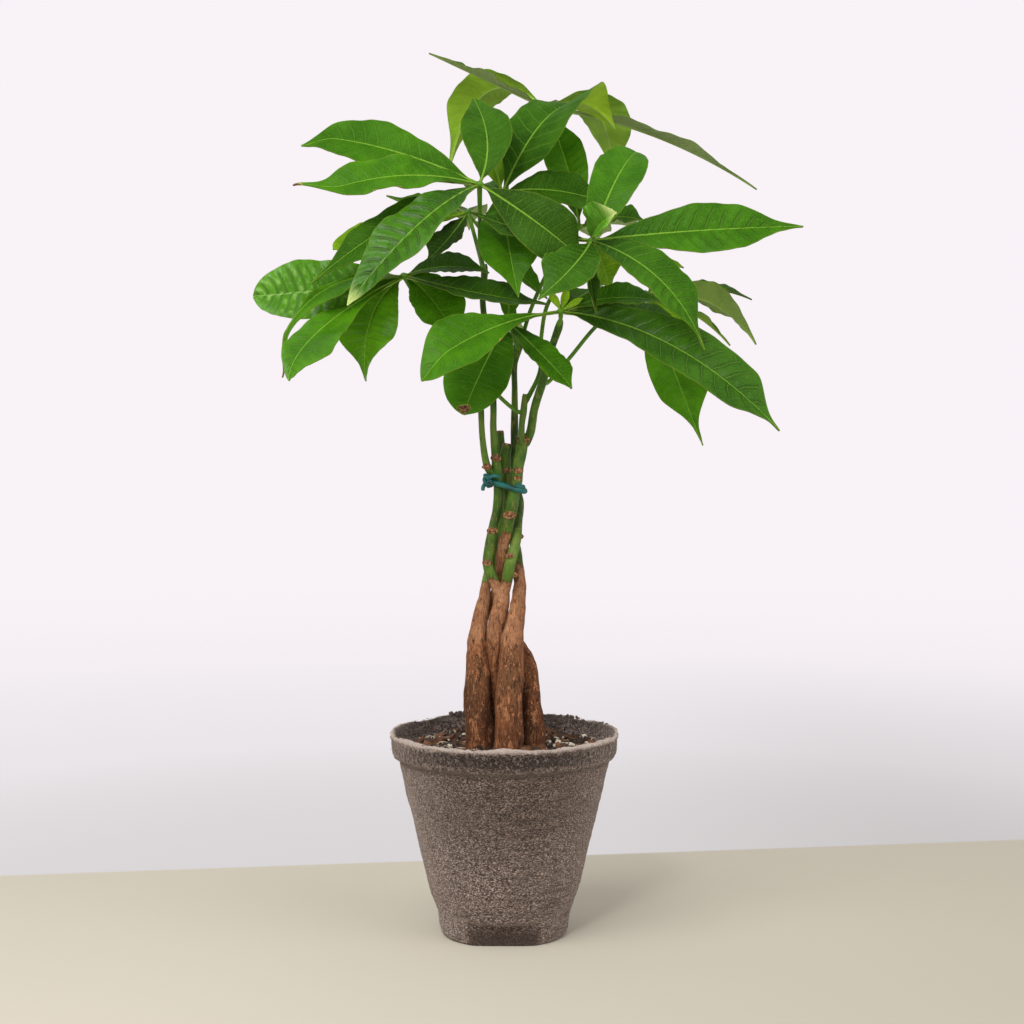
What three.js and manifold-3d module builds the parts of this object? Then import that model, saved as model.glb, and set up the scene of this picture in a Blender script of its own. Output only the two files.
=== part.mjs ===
// A money tree in a moulded fibre pot: five braided stems, a tie, eleven palmate leaves, soil and pot.
// Millimetres, +Z up. The origin is the middle of the pot's underside, and -Y faces the viewer.
import * as THREE from 'three';
import { mergeVertices } from 'three/addons/utils/BufferGeometryUtils.js';
import Module from 'manifold-3d';

const wasm = await Module();
wasm.setup();

// Clearance between two pieces that touch on the real plant
const GAP = 0.3;

// Pot
const POT_HEIGHT = 117;
const RIM_RADIUS = 65;
const LIP_HEIGHT = 14.5;
const BODY_TOP_RADIUS = 60;
const BODY_LOW_RADIUS = 42.3;
const BODY_LOW_HEIGHT = 25;
const FOOT_RADIUS = 37;
const FOOT_HEIGHT = 14;
const WALL = 3;
const NOTCH_COUNT = 3;
const NOTCH_DISTANCE = 31;
const NOTCH_HEIGHT = 12;
const DRAIN_RADIUS = 4;
const DRAIN_DISTANCE = 21;
const DRAIN_SEGMENTS = 12;
const RIM_WOBBLE = 0.5;
const POT_SEGMENTS = 36;

// Soil
const SOIL_HEIGHT = 107.5;
const SOIL_BUMP = 1.4;
const CHIP_COUNT = 32;
const CHIP_FIELD = 50;
const CHIP_CLEAR_OF_STEMS = 25;
const CHIP_SMALLEST = 1.6;
const CHIP_SPREAD = 2.2;
const GOLDEN_SHARE = 0.618;
const SEED = 7;

// Stems: each point is x, y, z and the diameter there
const STEM_SIDES = 9;
const SHOOT_SIDES = 7;
const STEPS_PER_SPAN = 1.5;
const STEM_RIDGES = 0.05;
const STEMS = {
  stem_left: {
    trunk: [
      [-15, -8, 70, 16], [-14, -8, 107, 17], [-15, -7, 135, 15.3], [-15, -6, 158, 13],
      [-15, -4, 169, 11.4], [-13, -2, 186, 7.7], [-11, 0, 196, 6.2], [-9, 4, 206, 5.7],
      [-6, 6, 217, 5.7], [-3, 7, 231, 5.7], [-2, 9, 243, 5.7], [-3, 9, 254, 5.6],
      [-2, 8, 271, 5], [-2, 6, 288, 4.2],
    ],
    shoots: [],
  },
  stem_front: {
    trunk: [
      [2, -15, 70, 16], [2, -16, 107, 17], [3, -15, 137, 15.3], [4, -14, 156, 14],
      [5, -13, 172, 12.5], [7, -12, 183, 9.6], [8, -9, 193, 8], [9, -4, 201, 7.1],
      [8, 3, 211, 6.2], [6, 8, 223, 5.7], [2, 8, 237, 5.7], [2, 2, 249, 5.4],
      [2, 0, 260, 5.4], [1, -1, 274, 6], [2, -1, 281, 5.8],
    ],
    shoots: [],
  },
  stem_middle: {
    trunk: [
      [-1, 6, 70, 11], [-1, 6, 104, 11.4], [-2, 3, 134, 10.8], [-5, -4, 155, 9.7],
      [-5, -8, 170, 9.7], [-4, -9, 181, 9.7], [-2, -8, 190, 9.2], [-1, -7, 196, 8.4],
      [-1, -8, 201, 6.5],
    ],
    shoots: [
      [
        [-1, -7, 193, 6.4], [-5, -8, 202, 6.6], [-9, -9, 212, 5.8], [-8, -8, 224, 5.7],
        [-6, -6, 235, 5.1], [-4, -5, 243, 5.4], [-3, -5, 255, 5.7], [-4, -5, 266, 5.7],
        [-5, -5, 276, 4.8], [-6, -5, 289, 3.8], [-6, -6, 303, 3.7], [-8, -6, 328, 3.5],
        [-12, -5, 362, 3.4], [-11, -3, 377, 4], [-11, -3, 382, 3.4],
      ],
      [
        [-1, -7, 193, 6.4], [2, -9, 206, 6.6], [4, -8, 216, 6], [7, -5, 226, 5.4],
        [8, 0, 237, 4.8], [9, 4, 247, 4.6], [6, 8, 260, 4.6], [6, 8, 274, 4.5],
        [6, 7, 287, 4.6], [6, 5, 311, 3.4], [6, 2, 326, 3.4], [8, 0, 336, 5.6], [8, 0, 340, 4],
      ],
      [
        [-4, -5, 261, 4], [-9, -6, 267, 4.4], [-12, -7, 283, 3.4], [-13, -6, 300, 3.4],
        [-14, -2, 317, 3.2], [-13, 2, 332, 4], [-13, 2, 336, 3.2],
      ],
    ],
  },
  stem_right: {
    trunk: [
      [17, -4, 70, 13], [17, -4, 106, 13.6], [15, 0, 134, 12.5], [13, 6, 154, 10.2],
      [6, 12, 167, 8.5], [-2, 12, 176, 7.4], [-8, 9, 184, 6.8], [-4, 3, 197, 6.8],
      [-2, -2, 211, 6.8], [0, -5, 226, 6.5], [2, -8, 236, 6.8], [4, -9, 245, 7.1],
      [7, -9, 259, 6.3], [8, -8, 267, 6.3], [10, -6, 279, 6.5], [12, -4, 286, 6.5],
    ],
    shoots: [
      [[10, -7, 279, 3.4], [10, -10, 292, 3.4], [11, -10, 299, 4], [12, -10, 309, 3.2]],
      [
        [12, -5, 280, 4.6], [15, -6, 288, 5], [17, -10, 300, 4.6], [22, -15, 317, 4.8],
        [26, -25, 333, 4], [30, -36, 345, 4.4], [31, -39, 349, 3.6],
      ],
    ],
  },
  stem_back: {
    trunk: [
      [6, 15, 70, 12], [6, 15, 104, 12.5], [5, 17, 145, 10.2], [1, 19, 168, 8.5],
      [-2, 17, 192, 6.8], [0, 15, 214, 5.7], [0, 17, 236, 5.4], [2, 15, 258, 5.4], [2, 13, 274, 6.4],
    ],
    shoots: [],
  },
};

// Tie: a wire wrapped round the bundle of stems
const TIE_HEIGHT = 257;
const TIE_SLOPE = -0.28;
const TIE_RADIUS = 1.1;
const TIE_SLACK = 0.6;
const TIE_STEPS = 40;
const TIE_SIDES = 6;
const TIE_KNOT = [-9.2, -7.2, 260];
const TIE_KNOT_RADIUS = 2.4;
const TIE_STRAND = [[-9, -8, 259, 2.2], [-8.5, -11, 262, 2.2], [-5, -12, 263, 2]];
const TIE_BUNDLE = [
  [-3, 9, 2.9], [2, 1, 2.8], [-3, -5, 3], [7, -9, 3.5], [7.5, 6, 2.5], [6, 8, 2.5], [2, 15, 2.9],
];

// Leaves: a hub at the end of a stalk, and leaflets from it, each through a middle point to its tip
const BLADE_THICKNESS = 0.8;
const BLADE_END_WIDTH = 1.8;
const BLADE_STEPS = 8;
const BLADE_FOLD = 14;
const MARGIN_WAVE = 1;
const WAVES_PER_BLADE = 3;
const ROOT_SHARE = 0.03;
const WIDEST_AT = 0.575;
const BLUNT_WIDEST_AT = 0.63;
const OUTLINE_POWER = 0.85;
const BLUNT_OUTLINE_POWER = 0.62;
const WAVE_SHIFT_PER_LEAFLET = 0.38;
const WAVE_SHIFT_PER_SIDE = 1.3;
const HUB_RADIUS = 2.3;
const STALK_DIAMETER = 2.2;
const STALK_SIDES = 6;
const FRONDS = {
  leaf_a: {
    hub: [-13, -50, 422],
    petiole: [[-13, -38, 407], [-13, -15, 386], [-11, -5, 379], [-11, -3, 378]],
    leaflets: [
      { mid: [-9, -36, 447], tip: [-17, -5, 474], width: 29, face: [0, -0.9, 0.45] },
      {
        mid: [-63, -46, 441], tip: [-109, -30, 450], width: 29,
        face: [0.05, -0.9, 0.45], hook: [-2, 0, -5],
      },
      {
        mid: [-58, -70, 429], tip: [-104, -75, 417], width: 28,
        face: [0.1, -0.68, 0.73], hook: [-7, 0, 6],
      },
      { mid: [-45, -84, 397], tip: [-81, -95, 355], width: 30, face: [-0.35, -0.85, 0.4], wave: 2 },
      { mid: [19, -68, 399], tip: [44, -60, 379], width: 31, face: [0.15, -1, 0.05] },
      { mid: [-59, -60, 400], tip: [-103, -62, 368], width: 29, face: [-0.25, -0.8, 0.55] },
      { mid: [-37, -20, 427], tip: [-62, 8, 431], width: 20, face: [-0.1, -0.3, 1] },
    ],
  },
  leaf_b: {
    hub: [-1, -15, 421],
    petiole: [[1, -8, 390], [4, -5, 359], [5, -3, 343], [7, 0, 337]],
    leaflets: [
      {
        mid: [32, 3, 470], tip: [64, 38, 463], width: 40,
        face: [-0.35, -0.35, 0.87], twist: -80, peak: 0.52,
      },
      { mid: [29, -12, 426], tip: [61, -2, 419], width: 27, face: [0, -0.8, 0.6] },
      { mid: [2, -42, 394], tip: [8, -54, 361], width: 34, face: [0, -0.9, 0.4] },
      { mid: [-7, 6, 446], tip: [-10, 22, 470], width: 22, face: [0, -0.9, 0.45] },
      { mid: [-12, 18, 428], tip: [-21, 50, 427], width: 18, face: [-0.1, 0.1, 1] },
    ],
  },
  leaf_c: {
    hub: [24, 45, 476],
    petiole: [[20, 38, 472], [4, 28, 449], [2, 12, 411], [5, 8, 368], [7, 6, 344], [8, 2, 337]],
    leaflets: [
      { mid: [88, 42, 459], tip: [146, 30, 427], width: 25, face: [0.15, 0.12, 1] },
      { mid: [55, 60, 475], tip: [65, 80, 435], width: 34, face: [0.35, 0.5, 0.8] },
      { mid: [-9, 36, 490], tip: [-43, 25, 504], width: 25, face: [0.45, -0.05, 0.85] },
      { mid: [-11, 62, 487], tip: [-33, 75, 444], width: 32, face: [-0.5, 0.75, 0.5] },
      { mid: [25, 100, 483], tip: [22, 150, 470], width: 24, face: [0, 0.3, 0.95] },
    ],
  },
  leaf_d: {
    hub: [47, -62, 391],
    petiole: [
      [43, -60, 386], [36, -45, 376], [24, -25, 358],
      [21, -15, 342], [20, -8, 321], [12, -10, 304],
    ],
    leaflets: [
      { mid: [103, -62, 396], tip: [161, -55, 399], width: 30, face: [0, -0.92, 0.4] },
      { mid: [82, -90, 368], tip: [104, -100, 332], width: 29, face: [0.35, -0.8, 0.5] },
      { mid: [63, -46, 437], tip: [79, -14, 434], width: 34, face: [0, -0.7, 0.7], peak: 0.4 },
      { mid: [49, -72, 400], tip: [56, -82, 405], width: 15, face: [-0.4, -0.5, 0.75], fold: 55 },
      { mid: [54, -34, 380], tip: [59, -24, 366], width: 22, face: [0.1, -0.9, 0.3] },
      { mid: [14, -56, 396], tip: [-18, -50, 407], width: 24, face: [-0.1, -0.6, 0.8] },
      { mid: [36, -92, 375], tip: [18, -98, 358], width: 30, face: [-0.2, -0.85, 0.45] },
      { mid: [46, -66, 371], tip: [50, -62, 352], width: 9, face: [0.5, -0.8, 0.2], fold: 40 },
    ],
  },
  leaf_e: {
    hub: [31, -45, 354],
    petiole: [[31, -42, 350], [30, -37, 346]],
    leaflets: [
      { mid: [90, -78, 334], tip: [144, -95, 290], width: 34, face: [0.35, -0.85, 0.4] },
      { mid: [-9, -74, 343], tip: [-44, -90, 317], width: 32, face: [-0.3, -0.85, 0.45] },
      { mid: [61, -47, 361], tip: [90, -40, 358], width: 24, face: [0, -0.5, 0.87] },
      { mid: [71, -28, 356], tip: [104, -17, 343], width: 20, face: [0.1, -0.45, 0.87] },
      { mid: [44, -12, 364], tip: [54, 25, 370], width: 20, face: [0, 0.1, 1] },
    ],
  },
  leaf_f: {
    hub: [-55, -30, 374],
    petiole: [[-44, -26, 356], [-29, -20, 339], [-3, -10, 308], [8, -10, 299], [12, -10, 298]],
    leaflets: [
      {
        mid: [-97, -37, 366], tip: [-135, -40, 362], width: 35,
        face: [-0.1, -0.95, 0.3], wave: 1.6, blunt: true,
      },
      { mid: [-100, -56, 365], tip: [-118, -74, 320], width: 22, face: [-0.3, -0.3, 0.9], fold: 30 },
      { mid: [-92, -74, 346], tip: [-112, -92, 316], width: 33, face: [-0.2, -0.65, 0.75], fold: 28 },
      { mid: [-72, -46, 350], tip: [-74, -60, 316], width: 30, face: [-0.1, -0.9, 0.4] },
      { mid: [-40, -30, 361], tip: [-22, -40, 334], width: 32, face: [0.3, -0.8, 0.5] },
      { mid: [-31, -26, 381], tip: [-8, -24, 379], width: 22, face: [0, -0.5, 0.87] },
      { mid: [-16, -44, 365], tip: [25, -36, 358], width: 22, face: [0.1, -0.4, 0.9] },
    ],
  },
  leaf_g: {
    hub: [82, 30, 365],
    petiole: [[67, 20, 360], [51, 5, 346], [36, -4, 328], [24, -10, 315], [22, -15, 316]],
    leaflets: [
      { mid: [113, 24, 373], tip: [142, 18, 363], width: 20, face: [0.1, -0.2, 0.97] },
      { mid: [119, 14, 364], tip: [144, 2, 336], width: 24, face: [0.5, -0.1, 0.85] },
      { mid: [94, 16, 356], tip: [106, 4, 344], width: 20, face: [0.2, -0.6, 0.75] },
      { mid: [109, 30, 356], tip: [131, 28, 337], width: 14, face: [0.6, 0.1, 0.8], fold: 30 },
      { mid: [95, 8, 327], tip: [112, -8, 280], width: 29, face: [-0.2, -0.85, 0.4] },
      { mid: [94, 28, 380], tip: [104, 30, 382], width: 20, face: [0, -0.4, 0.9] },
      { mid: [97, 85, 366], tip: [110, 130, 349], width: 24, face: [0.1, 0.3, 0.95] },
    ],
  },
  leaf_h: {
    hub: [2, -15, 349],
    petiole: [[4, -10, 345], [7, -4, 338], [8, -1, 334]],
    leaflets: [
      { mid: [-9, -36, 324], tip: [-19, -50, 297], width: 36, face: [-0.1, -0.85, 0.5], blunt: true },
      { mid: [23, -42, 329], tip: [37, -48, 312], width: 22, face: [0.4, -0.8, 0.45] },
      { mid: [3, -20, 361], tip: [3, -24, 372], width: 12, face: [0, -0.9, 0.2] },
    ],
  },
  leaf_k: {
    hub: [-21, 35, 414],
    petiole: [[-19, 30, 407], [-13, 8, 384], [-11, -3, 375]],
    leaflets: [
      { mid: [-45, 44, 420], tip: [-69, 46, 430], width: 20, face: [-0.1, -0.5, 0.85] },
      { mid: [-32, 22, 398], tip: [-44, 12, 385], width: 24, face: [-0.3, -0.5, 0.8] },
      { mid: [-62, 18, 410], tip: [-93, 4, 400], width: 22, face: [-0.2, -0.6, 0.75], blunt: true },
      { mid: [-44, 62, 411], tip: [-66, 92, 399], width: 22, face: [-0.3, 0.2, 0.93] },
      { mid: [-22, 80, 419], tip: [-22, 120, 411], width: 24, face: [0, 0.3, 0.95] },
      { mid: [3, 32, 385], tip: [25, 26, 364], width: 22, face: [0.3, -0.5, 0.8] },
    ],
  },
  leaf_l: {
    hub: [43, 10, 404],
    petiole: [[32, 8, 391], [16, 3, 359], [11, 1, 343], [10, 0, 337]],
    leaflets: [
      { mid: [38, 16, 438], tip: [28, 30, 471], width: 28, face: [0, -0.9, 0.4] },
      { mid: [64, 8, 409], tip: [80, 4, 406], width: 22, face: [0, -0.5, 0.87] },
      { mid: [63, 45, 409], tip: [79, 80, 409], width: 24, face: [0.1, 0.1, 1] },
      { mid: [32, 30, 397], tip: [21, 60, 392], width: 20, face: [-0.1, 0.2, 1] },
      { mid: [52, 60, 406], tip: [57, 106, 403], width: 22, face: [0, 0.1, 1] },
    ],
  },
  leaf_m: {
    hub: [-20, 20, 346],
    petiole: [[-15, 9, 339], [-13, 2, 333]],
    leaflets: [
      { mid: [-34, 34, 350], tip: [-47, 50, 344], width: 20, face: [-0.2, 0, 1] },
      { mid: [-4, 44, 351], tip: [12, 72, 348], width: 20, face: [0.1, 0.1, 1] },
      { mid: [-21, 66, 354], tip: [-24, 112, 348], width: 22, face: [0, 0.2, 1] },
    ],
  },
};

// Colours
const FIBRE = { color: 0x8a7d73, roughness: 0.95, metalness: 0 };
const EARTH = { color: 0x3b2a20, roughness: 1, metalness: 0 };
const BARK = { color: 0x8a5f3c, roughness: 0.85, metalness: 0 };
const LEAF = { color: 0x2f6b1e, roughness: 0.45, metalness: 0, side: THREE.DoubleSide };
const WIRE = { color: 0x0f7f7a, roughness: 0.4, metalness: 0 };

function vector(p) {
  return new THREE.Vector3(p[0], p[1], p[2]);
}

function smoothstep(from, to, value) {
  return THREE.MathUtils.smoothstep(value, from, to);
}

// A repeatable sequence of numbers from 0 to 1
function seededRandom(seed) {
  let state = seed;
  return () => {
    state = (state * 16807) % 2147483647;
    return state / 2147483647;
  };
}

function solid(geometry) {
  geometry.deleteAttribute('normal');
  geometry.deleteAttribute('uv');
  const merged = mergeVertices(geometry, 1e-4);
  return new wasm.Manifold(new wasm.Mesh({
    numProp: 3,
    vertProperties: new Float32Array(merged.attributes.position.array),
    triVerts: new Uint32Array(merged.index.array),
  }));
}

function unite(solids) {
  return solids.reduce((whole, next) => whole.add(next));
}

// The largest body of a solid, without loose scraps
function mainBody(whole) {
  const bodies = whole.decompose();
  return bodies.reduce((best, body) => (body.volume() > best.volume() ? body : best));
}

function piece(name, body, look) {
  const mesh = mainBody(body).getMesh();
  const geometry = new THREE.BufferGeometry();
  geometry.setAttribute('position', new THREE.BufferAttribute(mesh.vertProperties, 3));
  geometry.setIndex(new THREE.BufferAttribute(mesh.triVerts, 1));
  geometry.computeVertexNormals();
  const result = new THREE.Mesh(geometry, new THREE.MeshStandardMaterial(look));
  result.name = name;
  return result;
}

// Cross-sections along a curve through points of x, y, z and diameter
function sections(points, steps) {
  const curve = new THREE.CatmullRomCurve3(points.map(vector), false, 'centripetal');
  const spans = points.length - 1;
  const rings = [];
  let across = new THREE.Vector3(1, 0, 0);
  for (let i = 0; i <= steps; i += 1) {
    const t = i / steps;
    const tangent = curve.getTangent(t);
    across = across.clone().addScaledVector(tangent, -across.dot(tangent)).normalize();
    const before = Math.min(Math.floor(t * spans), spans - 1);
    const diameter = THREE.MathUtils.lerp(points[before][3], points[before + 1][3], t * spans - before);
    rings.push({
      centre: curve.getPoint(t),
      across,
      side: new THREE.Vector3().crossVectors(across, tangent),
      radius: diameter / 2,
    });
  }
  return rings;
}

// A round body along such a curve, made wider all round by swell.
// The ridges are the flats and bulges of a woody stem, as a share of its radius.
function tube(points, sides, swell = 0, ridges = 0) {
  const steps = Math.ceil((points.length - 1) * STEPS_PER_SPAN);
  const rings = sections(points, steps);
  const geometry = new THREE.CylinderGeometry(1, 1, 1, sides, steps);
  const position = geometry.attributes.position;
  for (let i = 0; i < position.count; i += 1) {
    const x = position.getX(i);
    const z = position.getZ(i);
    const index = Math.round((position.getY(i) + 0.5) * steps);
    const angle = Math.atan2(z, x);
    const bulge = Math.sin(3 * angle + 0.5 * index) + 0.6 * Math.sin(5 * angle - 0.3 * index);
    const radius = rings[index].radius * (1 + ridges * bulge) + swell;
    const place = rings[index].centre.clone();
    place.addScaledVector(rings[index].across, x * radius);
    place.addScaledVector(rings[index].side, z * radius);
    position.setXYZ(i, place.x, place.y, place.z);
  }
  return solid(geometry);
}

// Pot

function corner(radius, height) {
  return new THREE.Vector2(radius, height);
}

function outerProfile() {
  const lipBottom = POT_HEIGHT - LIP_HEIGHT;
  return [
    corner(0, 0), corner(FOOT_RADIUS - 4, 0), corner(FOOT_RADIUS - 1, 1.5), corner(FOOT_RADIUS, 5),
    corner(FOOT_RADIUS + 0.8, FOOT_HEIGHT), corner(BODY_LOW_RADIUS, BODY_LOW_HEIGHT),
    corner(BODY_TOP_RADIUS - 0.8, lipBottom - 6.5), corner(BODY_TOP_RADIUS + 0.2, lipBottom - 1),
    corner(RIM_RADIUS - 1.2, lipBottom + 1.5), corner(RIM_RADIUS - 0.4, POT_HEIGHT - 8),
    corner(RIM_RADIUS, POT_HEIGHT - 2), corner(RIM_RADIUS - 1, POT_HEIGHT), corner(0, POT_HEIGHT),
  ];
}

// The hollow that the soil fills, drawn in from the wall by inset, up to the underside of the lip
function hollowProfile(inset) {
  return [
    corner(0, WALL + inset), corner(FOOT_RADIUS - WALL - 3 - inset, WALL + inset),
    corner(FOOT_RADIUS - WALL - inset, 6 + inset), corner(FOOT_RADIUS + 1 - WALL - inset, FOOT_HEIGHT),
    corner(BODY_LOW_RADIUS - WALL - inset, BODY_LOW_HEIGHT),
  ];
}

function potHollow() {
  const top = POT_HEIGHT + 1;
  return [
    ...hollowProfile(0), corner(BODY_TOP_RADIUS - WALL, POT_HEIGHT - LIP_HEIGHT),
    corner(RIM_RADIUS - WALL, top), corner(0, top),
  ];
}

// Copies of a shape that faces the viewer, set evenly round the axis
function aroundAxis(makeGeometry) {
  const copies = [];
  for (let i = 0; i < NOTCH_COUNT; i += 1) {
    const geometry = makeGeometry();
    geometry.rotateZ((i * 2 * Math.PI) / NOTCH_COUNT);
    copies.push(solid(geometry));
  }
  return unite(copies);
}

// The blocks that dent the foot, each with its flat face at a distance from the axis
function notchBlocks(distance, height) {
  const depth = 20;
  const width = 60;
  const below = 1;
  return aroundAxis(() => {
    const block = new THREE.BoxGeometry(width, depth, height + 2 * below);
    return block.translate(0, -distance - depth / 2, height / 2 - below);
  });
}

function drains() {
  return aroundAxis(() => {
    const drain = new THREE.CylinderGeometry(DRAIN_RADIUS, DRAIN_RADIUS, 4 * WALL, DRAIN_SEGMENTS);
    return drain.rotateX(Math.PI / 2).translate(0, -DRAIN_DISTANCE, 0);
  });
}

function lathe(profile) {
  return new THREE.LatheGeometry(profile, POT_SEGMENTS).rotateX(Math.PI / 2);
}

// The torn edge of the lip goes up and down a little
function tearRim(geometry) {
  const position = geometry.attributes.position;
  for (let i = 0; i < position.count; i += 1) {
    if (position.getZ(i) > POT_HEIGHT - 3) {
      const angle = Math.atan2(position.getY(i), position.getX(i));
      const wobble = Math.sin(7 * angle) + 0.6 * Math.sin(12 * angle + 1);
      position.setZ(i, position.getZ(i) + RIM_WOBBLE * wobble - RIM_WOBBLE);
    }
  }
  return geometry;
}

function makePot() {
  const body = solid(tearRim(lathe(outerProfile())));
  const dents = notchBlocks(NOTCH_DISTANCE, NOTCH_HEIGHT);
  const innerDents = notchBlocks(NOTCH_DISTANCE - WALL, NOTCH_HEIGHT + WALL);
  const hollow = solid(lathe(potHollow())).subtract(innerDents);
  return body.subtract(dents).subtract(hollow).subtract(drains());
}

// Stems

function makeStem(stem, swell) {
  const shoots = stem.shoots.map((shoot) => tube(shoot, SHOOT_SIDES, swell));
  return unite([tube(stem.trunk, STEM_SIDES, swell, STEM_RIDGES), ...shoots]);
}

// Soil

function soilBody() {
  const edge = BODY_TOP_RADIUS - WALL - GAP + 0.4;
  const shares = [0.75, 0.4, 0];
  const top = shares.map((share) => corner(edge * share, SOIL_HEIGHT));
  const geometry = lathe([...hollowProfile(GAP), corner(edge, SOIL_HEIGHT - 1), ...top]);
  const position = geometry.attributes.position;
  for (let i = 0; i < position.count; i += 1) {
    if (position.getZ(i) > SOIL_HEIGHT - 0.5) {
      const x = position.getX(i);
      const y = position.getY(i);
      const bump = Math.sin(0.21 * x + 1) * Math.cos(0.17 * y) + 0.5 * Math.sin(0.4 * (x + y));
      position.setZ(i, position.getZ(i) + SOIL_BUMP * bump);
    }
  }
  return solid(geometry);
}

// Bark bits and pale grains, half sunk in the soil all over its top
function soilChips() {
  const random = seededRandom(SEED);
  const chips = [];
  for (let i = 0; i < CHIP_COUNT; i += 1) {
    const distance = CHIP_CLEAR_OF_STEMS + (CHIP_FIELD - CHIP_CLEAR_OF_STEMS) * Math.sqrt(random());
    const angle = 2 * Math.PI * ((i * GOLDEN_SHARE) % 1);
    const size = CHIP_SMALLEST + CHIP_SPREAD * random();
    const isGrain = i % 2 === 0;
    const chip = isGrain ? new THREE.OctahedronGeometry(size) : new THREE.BoxGeometry(3 * size, size, size);
    chip.rotateX(random() * 0.8);
    chip.rotateZ(random() * Math.PI);
    chip.translate(distance * Math.cos(angle), distance * Math.sin(angle), SOIL_HEIGHT + GAP);
    chips.push(solid(chip));
  }
  return unite(chips);
}

function makeSoil(stemsWithGap) {
  const dents = notchBlocks(NOTCH_DISTANCE - WALL - GAP, NOTCH_HEIGHT + WALL + GAP);
  return soilBody().add(soilChips()).subtract(dents).subtract(stemsWithGap);
}

// Tie

// The outermost of the bundle's circles in one direction decides where the wire runs there
function tieLoop() {
  const points = [];
  const middle = 2;
  for (let i = 0; i < TIE_STEPS; i += 1) {
    const angle = (i * 2 * Math.PI) / TIE_STEPS;
    const out = new THREE.Vector2(Math.cos(angle), Math.sin(angle));
    const reach = ([x, y, r]) => x * out.x + y * out.y + r;
    const [x, y, r] = TIE_BUNDLE.reduce((best, next) => (reach(next) > reach(best) ? next : best));
    const offset = r + TIE_SLACK + TIE_RADIUS;
    const px = x + out.x * offset;
    points.push(new THREE.Vector3(px, y + out.y * offset, TIE_HEIGHT + TIE_SLOPE * (px - middle)));
  }
  return new THREE.CatmullRomCurve3(points, true, 'centripetal');
}

function makeTie() {
  const loop = tieLoop();
  const geometry = new THREE.TorusGeometry(1, 0.1, TIE_SIDES, TIE_STEPS);
  const position = geometry.attributes.position;
  const up = new THREE.Vector3(0, 0, 1);
  for (let i = 0; i < position.count; i += 1) {
    const step = i % (TIE_STEPS + 1);
    const turn = ((i - step) / (TIE_STEPS + 1)) * ((2 * Math.PI) / TIE_SIDES);
    const t = (step % TIE_STEPS) / TIE_STEPS;
    const place = loop.getPoint(t);
    const out = new THREE.Vector3().crossVectors(loop.getTangent(t), up).normalize();
    place.addScaledVector(out, TIE_RADIUS * Math.cos(turn));
    place.addScaledVector(up, TIE_RADIUS * Math.sin(turn));
    position.setXYZ(i, place.x, place.y, place.z);
  }
  const knot = new THREE.SphereGeometry(TIE_KNOT_RADIUS, 8, 5).translate(...TIE_KNOT);
  return unite([solid(geometry), solid(knot), tube(TIE_STRAND, SHOOT_SIDES)]);
}

// Leaves

function bladeHalfWidth(leaflet, t) {
  const peak = leaflet.peak ?? (leaflet.blunt ? BLUNT_WIDEST_AT : WIDEST_AT);
  const power = leaflet.blunt ? BLUNT_OUTLINE_POWER : OUTLINE_POWER;
  const body = Math.sin(Math.PI * t ** (Math.log(0.5) / Math.log(peak))) ** power;
  const base = 0.4 + 0.6 * smoothstep(0, 0.16, t);
  const tip = 1 - 0.35 * smoothstep(0.86, 1, t);
  return Math.max(BLADE_END_WIDTH / 2, (leaflet.width / 2) * body * base * tip);
}

// Places along a leaflet's midrib, from the hub through the middle point to the tip and its hook
function midribPlaces(leaflet, hub) {
  const middle = vector(leaflet.mid);
  const start = vector(hub).lerp(middle, ROOT_SHARE);
  const end = vector(leaflet.tip);
  const control = middle.clone().multiplyScalar(2).addScaledVector(start, -0.5).addScaledVector(end, -0.5);
  const curve = new THREE.QuadraticBezierCurve3(start, control, end);
  const hook = vector(leaflet.hook ?? [0, 0, 0]);
  const stations = [];
  for (let i = 0; i <= BLADE_STEPS; i += 1) {
    const t = i / BLADE_STEPS;
    const place = curve.getPoint(t).addScaledVector(hook, smoothstep(0.75, 1, t) ** 2);
    stations.push({ t, place, along: curve.getTangent(t) });
  }
  return stations;
}

// Sets a station's directions off the blade's top and across it, from the top direction next to it
function carryTop(from, station) {
  station.top = from.clone().addScaledVector(station.along, -from.dot(station.along)).normalize();
  station.across = new THREE.Vector3().crossVectors(station.along, station.top);
  return station.top;
}

// The midrib with its directions. The blade faces the leaflet's face at its middle, and its twist
// is the roll from hub to tip.
function midrib(leaflet, hub) {
  const stations = midribPlaces(leaflet, hub);
  const half = BLADE_STEPS / 2;
  let top = vector(leaflet.face);
  for (let i = half; i <= BLADE_STEPS; i += 1) {
    top = carryTop(top, stations[i]);
  }
  top = stations[half].top;
  for (let i = half - 1; i >= 0; i -= 1) {
    top = carryTop(top, stations[i]);
  }
  for (const station of stations) {
    const roll = THREE.MathUtils.degToRad(leaflet.twist ?? 0) * (station.t - 0.5);
    station.top.applyAxisAngle(station.along, roll);
    station.across.applyAxisAngle(station.along, roll);
  }
  return stations;
}

// Moves one corner of the flat grid onto a face of the blade, 1 for its top and -1 for its underside
function bladePoint(leaflet, index, station, s, side) {
  const fold = THREE.MathUtils.degToRad(leaflet.fold ?? BLADE_FOLD);
  const wave = leaflet.wave ?? MARGIN_WAVE;
  const reach = bladeHalfWidth(leaflet, station.t);
  const phase = 2 * Math.PI * (WAVES_PER_BLADE * station.t + WAVE_SHIFT_PER_LEAFLET * index)
    + WAVE_SHIFT_PER_SIDE * Math.sign(s);
  const lift = Math.abs(s) * reach * Math.sin(fold)
    + wave * s * s * Math.sin(phase) * Math.sin(Math.PI * station.t)
    + (side * BLADE_THICKNESS) / 2;
  const point = station.place.clone();
  point.addScaledVector(station.across, s * reach * Math.cos(fold));
  point.addScaledVector(station.top, lift);
  return point;
}

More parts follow.
